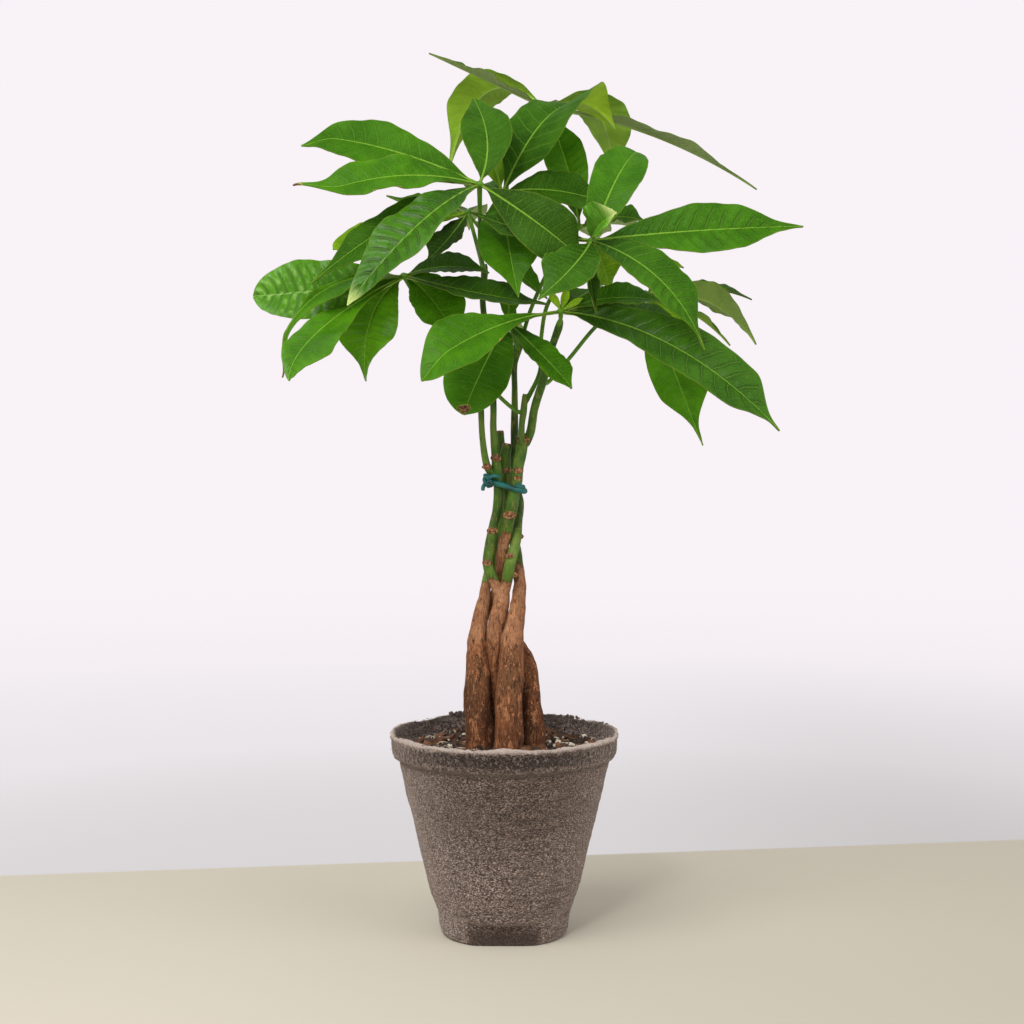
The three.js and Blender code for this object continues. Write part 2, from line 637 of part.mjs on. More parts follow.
// The grid's corners in order round its border
function border(rows, columns) {
  const corners = [];
  for (let i = 0; i < columns; i += 1) {
    corners.push(rows * (columns + 1) + i);
  }
  for (let i = rows; i > 0; i -= 1) {
    corners.push(i * (columns + 1) + columns);
  }
  for (let i = columns; i > 0; i -= 1) {
    corners.push(i);
  }
  for (let i = 0; i < rows; i += 1) {
    corners.push(i * (columns + 1));
  }
  return corners;
}

// One leaflet: a folded, waved blade with its two faces split into triangles alike
function blade(leaflet, hub, index) {
  const stations = midrib(leaflet, hub);
  const columns = 2;
  const grid = new THREE.PlaneGeometry(2, 1, columns, BLADE_STEPS);
  const flat = grid.attributes.position;
  const points = [];
  for (const side of [1, -1]) {
    for (let i = 0; i < flat.count; i += 1) {
      const station = stations[Math.round((flat.getY(i) + 0.5) * BLADE_STEPS)];
      points.push(bladePoint(leaflet, index, station, flat.getX(i), side));
    }
  }
  const under = flat.count;
  const triangles = Array.from(grid.index.array);
  for (let i = 0; i < grid.index.count; i += 3) {
    const [a, b, c] = [0, 1, 2].map((next) => grid.index.getX(i + next) + under);
    triangles.push(a, c, b);
  }
  const edge = border(BLADE_STEPS, columns);
  for (let i = 0; i < edge.length; i += 1) {
    const from = edge[i];
    const to = edge[(i + 1) % edge.length];
    triangles.push(from + under, to + under, to, from + under, to, from);
  }
  const geometry = new THREE.BufferGeometry().setFromPoints(points);
  geometry.setIndex(triangles);
  return solid(geometry);
}

function makeLeaf(leaf, stemsWithGap) {
  const knob = new THREE.SphereGeometry(HUB_RADIUS, STALK_SIDES, 4).translate(...leaf.hub);
  const stalk = tube([leaf.hub, ...leaf.petiole].map((p) => [...p, STALK_DIAMETER]), STALK_SIDES);
  const blades = leaf.leaflets.map((leaflet, index) => blade(leaflet, leaf.hub, index));
  return unite([solid(knob), stalk, ...blades]).subtract(stemsWithGap);
}

// The whole plant

const plant = new THREE.Group();
plant.add(piece('pot', makePot(), FIBRE));

// Each stem leaves room for the ones before it
let stemsWithGap = null;
for (const [name, stem] of Object.entries(STEMS)) {
  const own = makeStem(stem, 0);
  const swollen = makeStem(stem, GAP);
  plant.add(piece(name, stemsWithGap ? own.subtract(stemsWithGap) : own, BARK));
  stemsWithGap = stemsWithGap ? stemsWithGap.add(swollen) : swollen;
}

plant.add(piece('soil', makeSoil(stemsWithGap), EARTH));
plant.add(piece('tie', makeTie(), WIRE));

for (const [name, leaf] of Object.entries(FRONDS)) {
  plant.add(piece(name, makeLeaf(leaf, stemsWithGap), LEAF));
}

export default plant;
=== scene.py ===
# A money tree in a moulded fibre pot, dressed for the render. Metres, in the frame's own axes.
import math
import random

import bpy
import numpy as np
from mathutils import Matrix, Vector, noise


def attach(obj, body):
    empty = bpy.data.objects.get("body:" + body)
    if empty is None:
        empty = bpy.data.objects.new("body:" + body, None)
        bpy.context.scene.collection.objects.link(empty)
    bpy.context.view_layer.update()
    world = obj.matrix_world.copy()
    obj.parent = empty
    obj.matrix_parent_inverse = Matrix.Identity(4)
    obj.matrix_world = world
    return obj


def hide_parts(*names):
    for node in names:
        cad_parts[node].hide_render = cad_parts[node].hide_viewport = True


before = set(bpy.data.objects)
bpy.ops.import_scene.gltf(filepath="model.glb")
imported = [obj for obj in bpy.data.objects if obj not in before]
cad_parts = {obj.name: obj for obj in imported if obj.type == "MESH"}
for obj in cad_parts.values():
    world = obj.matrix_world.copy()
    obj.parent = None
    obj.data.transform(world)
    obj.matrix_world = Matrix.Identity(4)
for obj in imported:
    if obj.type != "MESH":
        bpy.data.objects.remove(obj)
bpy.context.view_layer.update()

# Every size and place below is in millimetres, but for the lights', the table's and those in the materials
MM = 0.001

# Camera: at a desk's distance, a little above the middle of the plant
CAMERA_PLACE = (4.5, -1162, 311)
CAMERA_PITCH = 3.4
CAMERA_LENS = 71.97
CAMERA_SENSOR = 36

# Lights, in metres: where each stands, where it points, its size and its power
LIGHTS = {
    "key": ((-0.75, -1.1, 1.5), (0, 0, 0.3), 1.4, 23),
    "spark": ((-0.35, -1.3, 1.05), (0, 0, 0.35), 0.22, 5),
    "fill": ((1.3, -1.0, 0.8), (0, 0, 0.25), 1.4, 10),
}
ROOM_LIGHT = 0.64
WALL_SHADE = (249, 242, 247)

# Table, in metres: the floor's size, and how far behind the plant its edge lies and how much that slants
FLOOR_SIZE = 8
TABLE_DEPTH = 0.186
TABLE_SLANT = 0.155

# Pot
POT_HEIGHT = 117
RIM_RADIUS = 65
LIP_HEIGHT = 14.5
BODY_TOP_RADIUS = 60
BODY_LOW_RADIUS = 42.3
BODY_LOW_HEIGHT = 25
FOOT_RADIUS = 37
FOOT_HEIGHT = 14
WALL = 3
NOTCH_COUNT = 3
NOTCH_DISTANCE = 31
NOTCH_HEIGHT = 12
DRAIN_RADIUS = 4
DRAIN_DISTANCE = 21
RIM_WOBBLE = 0.5
POT_SEGMENTS = 256
POT_ROW = 1.6

# Crumbs on the lip: near which place, how widely spread, how many and how big
CRUMB_CLUMPS = [(-26, 56, 3.2, 12, 4.4), (38, 49, 4, 12, 2), (57, 24, 4, 9, 1.8), (-50, -36, 5, 4, 1.2)]
RIM_THREADS = 240

# Soil
SOIL_HEIGHT = 107.5
SOIL_RADIUS = 57.1
SOIL_BUMP = 1.4
SOIL_RINGS = 40
SOIL_SEGMENTS = 128
ROOTS = 26
ROOT_STEP = 2.6
ROOT_DIAMETER = 0.55

# Bits on the soil: a bit's kind, stretch and roughness, how many, the ring where they lie, their least and
# greatest size, how far they stand out, and their darkest colour, lightest colour and dullness
SOIL_BITS = {
    "bark_bits": [("chip", (2.2, 1, 0.7), 0.35), 150, (20, 54), (1.4, 4), 0.25,
                  (62, 38, 22), (124, 80, 46), 0.85],
    "pale_grains": [("grain", (1, 0.85, 0.8), 0.4), 170, (18, 55), (1.2, 3.2), 0.3,
                    (176, 160, 136), (222, 212, 192), 0.8],
    "dark_crumbs": [("grain", (1, 0.9, 0.7), 0.5), 260, (14, 55.5), (1.4, 4.6), 0.15,
                    (30, 22, 18), (62, 46, 36), 0.95],
}
SCATTER_SEED = 41

# Stems: a trunk and its shoots, as points of x, y, z and the diameter there
STEM_SIDES = 28
SHOOT_SIDES = 16
STEM_STEP = 1.5
TUBE_END = 0.85
STEMS = {
    "stem_left": [
        [(-15, -8, 70, 16), (-14, -8, 107, 17), (-15, -7, 135, 15.3), (-15, -6, 158, 13),
         (-15, -4, 169, 11.4), (-13, -2, 186, 7.7), (-11, 0, 196, 6.2), (-9, 4, 206, 5.7),
         (-6, 6, 217, 5.7), (-3, 7, 231, 5.7), (-2, 9, 243, 5.7), (-3, 9, 254, 5.6), (-2, 8, 271, 5),
         (-2, 6, 288, 4.2)],
    ],
    "stem_front": [
        [(2, -15, 70, 16), (2, -16, 107, 17), (3, -15, 137, 15.3), (4, -14, 156, 14), (5, -13, 172, 12.5),
         (7, -12, 183, 9.6), (8, -9, 193, 8), (9, -4, 201, 7.1), (8, 3, 211, 6.2), (6, 8, 223, 5.7),
         (2, 8, 237, 5.7), (2, 2, 249, 5.4), (2, 0, 260, 5.4), (1, -1, 274, 6), (2, -1, 281, 5.8)],
    ],
    "stem_middle": [
        [(-1, 6, 70, 11), (-2, 6, 104, 12), (-3.2, 3, 134, 12.2), (-5, -4, 155, 9.7), (-5, -8, 170, 9.7),
         (-4, -9, 181, 9.7), (-2, -8, 190, 9.2), (-1, -7, 196, 8.4), (-1, -8, 201, 6.5)],
        [(-1, -7, 193, 6.4), (-5, -8, 202, 6.6), (-9, -9, 212, 5.8), (-8, -8, 224, 5.7), (-6, -6, 235, 5.1),
         (-4, -5, 243, 5.4), (-3, -5, 255, 5.7), (-4, -5, 266, 5.7), (-5, -5, 276, 4.8), (-6, -5, 289, 3.8),
         (-6, -6, 303, 3.7), (-8, -6, 328, 3.5), (-12, -5, 362, 3.4), (-11, -3, 377, 4),
         (-11, -3, 382, 3.4)],
        [(-1, -7, 193, 6.4), (2, -9, 206, 6.6), (4, -8, 216, 6), (7, -5, 226, 5.4), (8, 0, 237, 4.8),
         (9, 4, 247, 4.6), (6, 8, 260, 4.6), (6, 8, 274, 4.5), (6, 7, 287, 4.6), (6, 5, 311, 3.4),
         (6, 2, 326, 3.4), (8, 0, 336, 5.6), (8, 0, 340, 4)],
        [(-4, -5, 261, 4), (-9, -6, 267, 4.4), (-12, -7, 283, 3.4), (-13, -6, 300, 3.4),
         (-14, -2, 317, 3.2), (-13, 2, 332, 4), (-13, 2, 336, 3.2)],
    ],
    "stem_right": [
        [(17, -4, 70, 13), (17, -4, 106, 13.6), (15, 0, 134, 12.5), (13, 6, 154, 10.2), (6, 12, 167, 8.5),
         (-2, 12, 176, 7.4), (-8, 9, 184, 6.8), (-4, 3, 197, 6.8), (-2, -2, 211, 6.8), (0, -5, 226, 6.5),
         (2, -8, 236, 6.8), (4, -9, 245, 7.1), (7, -9, 259, 6.3), (8, -8, 267, 6.3), (10, -6, 279, 6.5),
         (12, -4, 286, 6.5)],
        [(10, -7, 279, 3.4), (10, -10, 292, 3.4), (11, -10, 299, 4), (12, -10, 309, 3.2)],
        [(12, -5, 280, 4.6), (15, -6, 288, 5), (17, -10, 300, 4.6), (22, -15, 317, 4.8), (26, -25, 333, 4),
         (30, -36, 345, 4.4), (31, -39, 349, 3.6)],
    ],
    "stem_back": [
        [(6, 15, 70, 12), (6, 15, 104, 12.5), (5, 17, 145, 10.2), (1, 19, 168, 8.5), (-2, 17, 192, 6.8),
         (0, 15, 214, 5.7), (0, 17, 236, 5.4), (2, 15, 258, 5.4), (2, 13, 274, 6.4)],
    ],
}

# Round this height a stem's bark gives way to green, for each stem, and over this much to either side
BARK_TOP = {"stem_left": 203, "stem_front": 212, "stem_middle": 208, "stem_right": 229, "stem_back": 200}
SHOOT_BARK_TOP = 203
BARK_FADE = 9

# How much painted shade darkens a trunk's bark, beyond the others'
PAINTED_BARK_SHADE = {"stem_left": 0.5, "stem_right": 1.0}

# Stems that were cut off short, with a brown top
CUT_STEMS = ("stem_left", "stem_front", "stem_back")

# Old leaf scars: a place on the stem's axis, the stem's radius there and the scar's size
SCARS = [
    ((2.9, -8.4, 241), 3.5, 3.2), ((7.9, -8.2, 266), 3.2, 2.7), ((7.6, -8.6, 261.5), 3.2, 2.2),
    ((1.4, -0.4, 266), 2.9, 2.4), ((-4.6, -5, 273), 2.6, 2.9), ((-9.6, -6.1, 268), 2.1, 2.6),
    ((11.3, -4.6, 283), 3.2, 3.4), ((-6.6, -6.4, 232), 2.7, 2.8), ((3.1, -8.2, 218), 3, 2.2),
    ((8.6, 1.5, 228), 2.7, 2.4), ((-9.4, -9, 214), 2.9, 2.4), ((5.5, -6.5, 207), 3.1, 2.2),
]

# Tie: a wire round the bundle of stems, each of which is a circle in it, and the strands of its knot
TIE_HEIGHT = 257
TIE_SLOPE = -0.28
TIE_RADIUS = 1.6
TIE_BUNDLE = [
    (-3, 9, 2.9), (2, 1, 2.8), (-3, -5, 3), (7, -9, 3.5), (7.5, 6, 2.5), (6, 8, 2.5), (2, 15, 2.9),
]
TIE_SLACK = -0.4
TIE_KNOT = [
    [(-9, -4.6, 261.5, 2.6), (-10.6, -7, 263, 2.6), (-8.4, -9.4, 261, 2.6), (-7, -8.6, 258, 2.6),
     (-9.4, -6.4, 257, 2.6)],
    [(-7.6, -8, 257.4, 2.6), (-10.2, -9.2, 258.8, 2.6), (-10.8, -7, 261.2, 2.6), (-8.2, -7.2, 263.4, 2.6)],
    [(-9, -8.4, 260.6, 2.6), (-7.4, -11, 262.4, 2.6), (-4.6, -11.9, 263, 2.4), (-2.6, -11, 262.2, 2.2)],
    [(-9.6, -7.4, 259, 2.6), (-11.6, -9, 257, 2.4), (-12, -9.4, 254.6, 2.2)],
]

# Leaflets: a blade's grid, thickness, narrowest ends, waves and veins
BLADE_COLUMNS = 20
BLADE_ROWS = 84
BLADE_EDGE = 0.45
BLADE_RIB = 1.5
BLADE_END_WIDTH = 0.5
BLADE_BASE_WIDTH = 1.5
WAVES_PER_BLADE = 3
WAVE_SHIFT_PER_LEAFLET = 0.38
WAVE_SHIFT_PER_SIDE = 1.3
FRILLS_PER_BLADE = 9
ROOT_SHARE = 0.03
VEIN_PAIRS = 15
VEIN_SLANT = 0.075
HUB_RADIUS = 2.1
STALK_DIAMETER = 2.3
STALK_SIDES = 12

# A leaflet's outline: how full it is, how far along it is widest, and how much it narrows before its tip
POINTED = dict(power=0.85, peak=0.575, drip=0.6)
BLUNT = dict(power=0.5, peak=0.63, drip=0)

# What a leaflet has unless its own row says more. The drip_at is the part of the length where it narrows,
# the sides are the shares of the half width on the left and the right, the fold and the twist are angles,
# and the hook is how far its tip is pulled aside. The wave is its margin's, the quilt is how far the blade
# swells between its veins, and the burn and pale_tip are the shares of the blade that have died or gone
# pale. Each spot is a place across and along the blade and its size, where the blade has died.
USUAL = dict(drip_at=(0.68, 0.93), sides=(1, 1), fold=14, twist=0, hook=(0, 0, 0), wave=1.1, quilt=0.4,
             gloss=0.3, burn=0, pale_tip=0, spots=())


def blade(mid, tip, width, face, tint, blunt=False, **special):
    """A leaflet's numbers: its middle and tip, its width, the way that its top faces and its tint, which
    runs from an old leaf's dark green at 0 to a young leaf's yellow-green at 1, then what is special"""
    return {**USUAL, **(BLUNT if blunt else POINTED), "mid": mid, "tip": tip, "width": width, "face": face,
            "tint": tint, "under": tint, **special}


# Leaves: a hub, the other points of its stalk, and its leaflets
LEAVES = {
    "leaf_a": (
        (-13, -50, 422), [(-13, -38, 407), (-13, -15, 386), (-11, -5, 379), (-11, -3, 378)],
        blade((-9, -36, 447), (-17, -5, 474), 29, (0, -0.9, 0.45), 0.38, drip=0.2, wave=0.5, gloss=0.2),
        blade((-63, -46, 441), (-109, -30, 450), 29, (0.05, -0.9, 0.45), 0.48, hook=(-2, 0, -5), drip=0.35,
              drip_at=(0.8, 0.98), gloss=0.15),
        blade((-58, -70, 424), (-103, -75, 412), 27, (0.1, -0.72, 0.69), 0.54, hook=(-8, 0, 7), drip=0.6,
              drip_at=(0.78, 0.96), wave=1.8, burn=0.04, spots=[(-0.99, 0.5, 1.5), (-0.99, 0.64, 1.7)]),
        blade((-45, -84, 397), (-81, -95, 355), 30, (-0.35, -0.85, 0.4), 0.47, wave=2, quilt=1.5, gloss=0.7,
              pale_tip=0.1, drip=0.1),
        blade((19, -68, 399), (44, -60, 379), 31, (0.15, -1, 0.05), 0.24, gloss=0.15),
        blade((-59, -60, 400), (-103, -62, 368), 29, (-0.25, -0.8, 0.55), 0.42, sides=(1.05, 0.72),
              gloss=0.15),
        blade((-37, -20, 427), (-62, 8, 431), 20, (-0.1, -0.3, 1), 0.24),
    ),
    "leaf_b": (
        (-1, -15, 421), [(1, -8, 390), (4, -5, 359), (5, -3, 343), (7, 0, 337)],
        blade((32, 3, 470), (64, 38, 463), 40, (-0.35, -0.35, 0.87), 0.4, twist=-80, peak=0.43,
              sides=(1, 1.25), under=1, quilt=0.5, drip=0.4, gloss=0.1),
        blade((29, -12, 422), (61, -2, 415), 27, (0, -0.8, 0.6), 0.36, gloss=0.1),
        blade((2, -42, 394), (8, -54, 361), 34, (0, -0.9, 0.4), 0.55),
        blade((-7, 6, 446), (-10, 22, 470), 22, (0, -0.9, 0.45), 0.92),
        blade((-12, 18, 428), (-21, 50, 427), 18, (-0.1, 0.1, 1), 0.5),
    ),
    "leaf_c": (
        (24, 45, 476), [(20, 38, 472), (4, 28, 449), (2, 12, 411), (5, 8, 368), (7, 6, 344), (8, 2, 337)],
        blade((88, 42, 459), (146, 30, 427), 25, (0.2, 0.02, 1), 0.3),
        blade((55, 60, 475), (65, 80, 435), 34, (0.35, 0.5, 0.8), 0.6, under=0.72),
        blade((-9, 36, 490), (-43, 25, 504), 25, (0.45, -0.05, 0.85), 0.3),
        blade((-11, 62, 487), (-33, 75, 444), 32, (-0.5, 0.75, 0.5), 0.7, under=0.8),
        blade((25, 100, 483), (22, 150, 470), 24, (0, 0.3, 0.95), 0.5),
    ),
    "leaf_d": (
        (47, -62, 391), [(43, -60, 386), (36, -45, 376), (24, -25, 358), (21, -15, 342), (20, -8, 321),
        (12, -10, 304)],
        blade((103, -62, 396), (161, -55, 399), 30, (0, -0.92, 0.4), 0.48, quilt=0.9),
        blade((82, -90, 368), (104, -100, 332), 28, (0.35, -0.8, 0.5), 0.42, blunt=True, peak=0.45,
              drip=0.88, drip_at=(0.62, 0.95), wave=0.8, quilt=0.9),
        blade((61, -44, 425), (73, -24, 442), 28, (0.05, -0.8, 0.6), 0.5, blunt=True, peak=0.56, gloss=0.4),
        blade((51, -75, 398), (59, -84, 404), 20, (0.1, -0.9, 0.4), 0.7, fold=24, drip=0.2,
              sides=(1.3, 0.6), under=0.5, gloss=0.9, quilt=0.7, pale_tip=0.3),
        blade((54, -34, 380), (59, -24, 366), 22, (0.1, -0.9, 0.3), 0.88),
        blade((14, -56, 396), (-18, -50, 407), 24, (-0.1, -0.6, 0.8), 0.3),
        blade((36, -92, 375), (18, -98, 358), 30, (-0.2, -0.85, 0.45), 0.37),
        blade((46, -66, 371), (50, -62, 352), 9, (0.5, -0.8, 0.2), 0.3, fold=40),
    ),
    "leaf_e": (
        (31, -45, 354), [(31, -42, 350), (30, -37, 346)],
        blade((90, -78, 334), (144, -95, 290), 32, (0.35, -0.85, 0.4), 0.38, blunt=True, peak=0.6,
              drip=0.85, drip_at=(0.8, 0.98), sides=(1.04, 1), wave=0.8, quilt=1.1, gloss=0.5),
        blade((-8, -74, 343), (-42, -88, 322), 35, (-0.3, -0.85, 0.45), 0.52, peak=0.75, drip=0.2,
              sides=(1.1, 1.05), wave=0.7, hook=(-1, 0, -6), quilt=0.6, spots=[(-0.99, 0.5, 1.4)]),
        blade((61, -47, 361), (90, -40, 358), 24, (0, -0.5, 0.87), 0.46, wave=0.6),
        blade((71, -28, 356), (104, -17, 343), 20, (0.1, -0.45, 0.87), 0.3),
        blade((44, -12, 364), (54, 25, 370), 20, (0, 0.1, 1), 0.4),
        blade((33, -45, 361), (35, -45, 367), 5, (0.4, -0.9, 0), 0.98, wave=0, drip=0.2),
        blade((28, -46, 360), (24, -47, 364), 4.5, (-0.4, -0.9, 0), 0.98, wave=0, drip=0.2),
        blade((38, -47, 358), (43, -48, 361), 4, (0, -0.9, 0.3), 0.98, wave=0, drip=0.2),
    ),
    "leaf_f": (
        (-55, -30, 374), [(-44, -26, 356), (-29, -20, 339), (-3, -10, 308), (8, -10, 299), (12, -10, 298)],
        blade((-97, -40, 366), (-136, -44, 362), 35, (-0.1, -0.95, 0.3), 0.68, wave=1.6, blunt=True,
              quilt=1.2, gloss=0.9),
        blade((-98, -52, 364), (-122, -78, 327), 27, (-0.35, -0.8, 0.5), 0.56, fold=26, blunt=True,
              peak=0.42, sides=(1.5, 0.2), hook=(5, 0, -9), drip=0.85, drip_at=(0.5, 0.9), burn=0.1),
        blade((-98, -74, 342), (-112, -92, 316), 33, (-0.2, -0.75, 0.65), 0.6, fold=18, peak=0.66,
              sides=(1.35, 0.6), drip=0.4, gloss=0.6, quilt=0.6),
        blade((-72, -46, 350), (-74, -60, 316), 34, (-0.1, -0.9, 0.4), 0.72, drip=0.7, quilt=0.6,
              gloss=0.5),
        blade((-40, -30, 361), (-22, -40, 334), 32, (0.3, -0.8, 0.5), 0.7),
        blade((-31, -26, 379), (-8, -24, 376), 25, (0, -0.5, 0.87), 0.36, wave=0.4, gloss=0.5),
        blade((-16, -44, 364), (25, -36, 358), 27, (0.1, -0.5, 0.85), 0.34, wave=0.4, gloss=0.5),
    ),
    "leaf_g": (
        (82, 30, 365), [(67, 20, 360), (51, 5, 346), (36, -4, 328), (24, -10, 315), (22, -15, 316)],
        blade((113, 20, 370), (142, 16, 363), 20, (0.1, -0.2, 0.97), 0.24, wave=0.7),
        blade((117, 14, 362), (143, 2, 337), 31, (0.45, 0.35, 0.78), 0.4, under=0.5),
        blade((94, 16, 356), (106, 4, 344), 20, (0.2, -0.6, 0.75), 0.85),
        blade((109, 30, 356), (131, 28, 337), 8, (0.6, 0, 0.8), 0.5, fold=30, under=0.62),
        blade((95, 8, 327), (112, -8, 280), 29, (-0.2, -0.85, 0.4), 0.66, drip=0.8, sides=(1.3, 1)),
        blade((94, 28, 380), (104, 30, 382), 20, (0, -0.4, 0.9), 0.85),
        blade((97, 85, 366), (110, 130, 349), 24, (0.1, 0.3, 0.95), 0.4),
    ),
    "leaf_h": (
        (2, -15, 349), [(4, -10, 345), (7, -4, 338), (8, -1, 334)],
        blade((-11, -36, 324), (-22, -50, 298), 37, (-0.1, -0.85, 0.5), 0.52, blunt=True, quilt=0.5,
              spots=[(-0.05, 0.95, 3.4), (0.25, 0.96, 2.4)]),
        blade((23, -42, 328), (37, -48, 312), 19, (0.4, -0.8, 0.45), 0.5, blunt=True, peak=0.56, drip=0.7,
              drip_at=(0.74, 1), wave=0.5, burn=0.03),
        blade((3, -20, 361), (3, -24, 372), 12, (0, -0.9, 0.2), 0.6),
    ),
    "leaf_k": (
        (-21, 35, 414), [(-19, 30, 407), (-13, 8, 384), (-11, -3, 375)],
        blade((-45, 44, 417), (-69, 46, 425), 20, (-0.1, -0.5, 0.85), 0.3),
        blade((-32, 22, 398), (-44, 12, 385), 24, (-0.3, -0.5, 0.8), 0.2),
        blade((-62, 18, 403), (-97, 5, 391), 21, (-0.2, -0.75, 0.65), 0.92, blunt=True),
        blade((-44, 62, 411), (-66, 92, 399), 22, (-0.3, 0.2, 0.93), 0.45),
        blade((-22, 80, 419), (-22, 120, 411), 24, (0, 0.3, 0.95), 0.4),
        blade((3, 32, 385), (25, 26, 364), 22, (0.3, -0.5, 0.8), 0.45),
    ),
    "leaf_l": (
        (43, 10, 404), [(32, 8, 391), (16, 3, 359), (11, 1, 343), (10, 0, 337)],
        blade((36, 16, 438), (26, 30, 468), 25, (0, -0.9, 0.4), 0.6, drip=0.1),
        blade((64, 8, 409), (80, 4, 406), 22, (0, -0.5, 0.87), 0.36),
        blade((63, 45, 409), (79, 80, 409), 24, (0.1, 0.1, 1), 0.4),
        blade((32, 30, 397), (21, 60, 392), 20, (-0.1, 0.2, 1), 0.4),
        blade((52, 60, 406), (57, 106, 403), 22, (0, 0.1, 1), 0.45),
    ),
    "leaf_m": (
        (-20, 20, 346), [(-15, 9, 339), (-13, 2, 333)],
        blade((-31, 36, 352), (-40, 52, 353), 20, (-0.2, 0, 1), 0.3),
        blade((-4, 44, 351), (12, 72, 348), 20, (0.1, 0.1, 1), 0.4),
        blade((-21, 66, 354), (-24, 112, 348), 22, (0, 0.2, 1), 0.35),
    ),
}


# Selecting, shaping and joining

def deselect():
    bpy.ops.object.select_all(action="DESELECT")


def take(*pieces):
    """Selects these pieces only, with the first one active"""
    deselect()
    for piece in pieces:
        piece.select_set(True)
    bpy.context.view_layer.objects.active = pieces[0]


def join(name, pieces):
    take(*pieces)
    if len(pieces) > 1:
        bpy.ops.object.join()
    pieces[0].name = name
    pieces[0].data.name = name
    return pieces[0]


def settle(piece):
    """Puts a piece's place, turn and size into its mesh"""
    take(piece)
    bpy.ops.object.transform_apply(location=True, rotation=True, scale=True)


def apply_modifier(piece, kind, **settings):
    take(piece)
    modifier = piece.modifiers.new(kind.title(), kind)
    for key, value in settings.items():
        setattr(modifier, key, value)
    bpy.ops.object.modifier_apply(modifier=modifier.name)


def close(piece):
    """Merges a shape's seams, closes its open ends and turns its faces outwards"""
    take(piece)
    bpy.ops.object.mode_set(mode="EDIT")
    bpy.ops.mesh.select_all(action="SELECT")
    bpy.ops.mesh.remove_doubles(threshold=0.01 * MM)
    bpy.ops.mesh.fill_holes(sides=0)
    bpy.ops.mesh.normals_make_consistent(inside=False)
    bpy.ops.object.mode_set(mode="OBJECT")


def smooth_faces(piece, angle):
    take(piece)
    bpy.ops.object.shade_smooth_by_angle(angle=math.radians(angle))


def finished(name, parts, material, smooth_angle=60):
    """One piece from its parts, settled, smooth and in one material"""
    piece = join(name, parts)
    settle(piece)
    smooth_faces(piece, smooth_angle)
    piece.data.materials.clear()
    piece.data.materials.append(material)
    return piece


def copy_of(template, place, turn, size):
    """A copy with a mesh of its own, in its place"""
    copy = template.copy()
    copy.data = template.data.copy()
    bpy.context.collection.objects.link(copy)
    copy.location = [value * MM for value in place]
    copy.rotation_euler = turn
    copy.scale = (size, size, size)
    return copy


def corners(piece):
    """The places of a mesh's corners, in millimetres"""
    places = np.empty(3 * len(piece.data.vertices))
    piece.data.vertices.foreach_get("co", places)
    return places.reshape(-1, 3) / MM


def move_corners(piece, places):
    piece.data.vertices.foreach_set("co", (places * MM).ravel())
    piece.data.update()


def paint(piece, name, values):
    """Keeps one number for each corner of a mesh, for its material to read"""
    count = len(piece.data.vertices)
    attribute = piece.data.attributes.get(name) or piece.data.attributes.new(name, "FLOAT", "POINT")
    attribute.data.foreach_set("value", np.broadcast_to(np.asarray(values, dtype=float), count).copy())


def grid(columns, rows):
    """A flat grid, with its corners' places from -1 to 1 across and 0 to 1 along, and their rows"""
    deselect()
    bpy.ops.mesh.primitive_grid_add(x_subdivisions=columns, y_subdivisions=rows, size=2)
    piece = bpy.context.object
    flat = corners(piece) * MM
    along = (flat[:, 1] + 1) / 2
    return piece, flat[:, 0], along, np.rint(along * rows).astype(int)


def smoothstep(low, high, value):
    share = np.clip((value - low) / (high - low), 0, 1)
    return share * share * (3 - 2 * share)


def grain(places, size, seed):
    """Smooth noise from -1 to 1 at each place, with lumps about this many millimetres across"""
    shift = Vector((seed * 17.3, seed * 9.1, seed * 5.7))
    return np.array([noise.noise(Vector(place) / size + shift) for place in places])


def unit(vectors):
    return vectors / np.linalg.norm(vectors, axis=-1, keepdims=True)


# Round bodies along a curve

def curve_span(p0, p1, p2, p3, shares):
    """A centripetal Catmull-Rom curve from p1 to p2"""
    gaps = [max(np.linalg.norm(b - a) ** 0.5, 0.01) for a, b in ((p0, p1), (p1, p2), (p2, p3))]
    start = ((p1 - p0) / gaps[0] - (p2 - p0) / (gaps[0] + gaps[1]) + (p2 - p1) / gaps[1]) * gaps[1]
    end = ((p2 - p1) / gaps[1] - (p3 - p1) / (gaps[1] + gaps[2]) + (p3 - p2) / gaps[2]) * gaps[1]
    t = shares[:, None]
    bend = -3 * p1 + 3 * p2 - 2 * start - end
    return p1 + start * t + bend * t ** 2 + (2 * p1 - 2 * p2 + start + end) * t ** 3


def curve(points, step):
    """Places, directions and radii along a curve through points of x, y, z and diameter"""
    points = np.array(points, dtype=float)
    places = points[:, :3]
    ends = [2 * places[0] - places[1], *places, 2 * places[-1] - places[-2]]
    centres = []
    radii = []
    for i in range(len(places) - 1):
        count = max(2, round(np.linalg.norm(places[i + 1] - places[i]) / step))
        shares = np.arange(count) / count
        centres.append(curve_span(*ends[i:i + 4], shares))
        radii.append((points[i, 3] * (1 - shares) + points[i + 1, 3] * shares) / 2)
    centres = np.vstack([*centres, places[-1]])
    radii = np.append(np.concatenate(radii), points[-1, 3] / 2)
    return centres, unit(np.gradient(centres, axis=0)), radii


def carried(tangents, first):
    """A direction across the curve, carried along it without twist"""
    across = []
    latest = np.array(first, dtype=float)
    for tangent in tangents:
        latest = unit(latest - tangent * latest.dot(tangent))
        across.append(latest)
    return np.array(across)


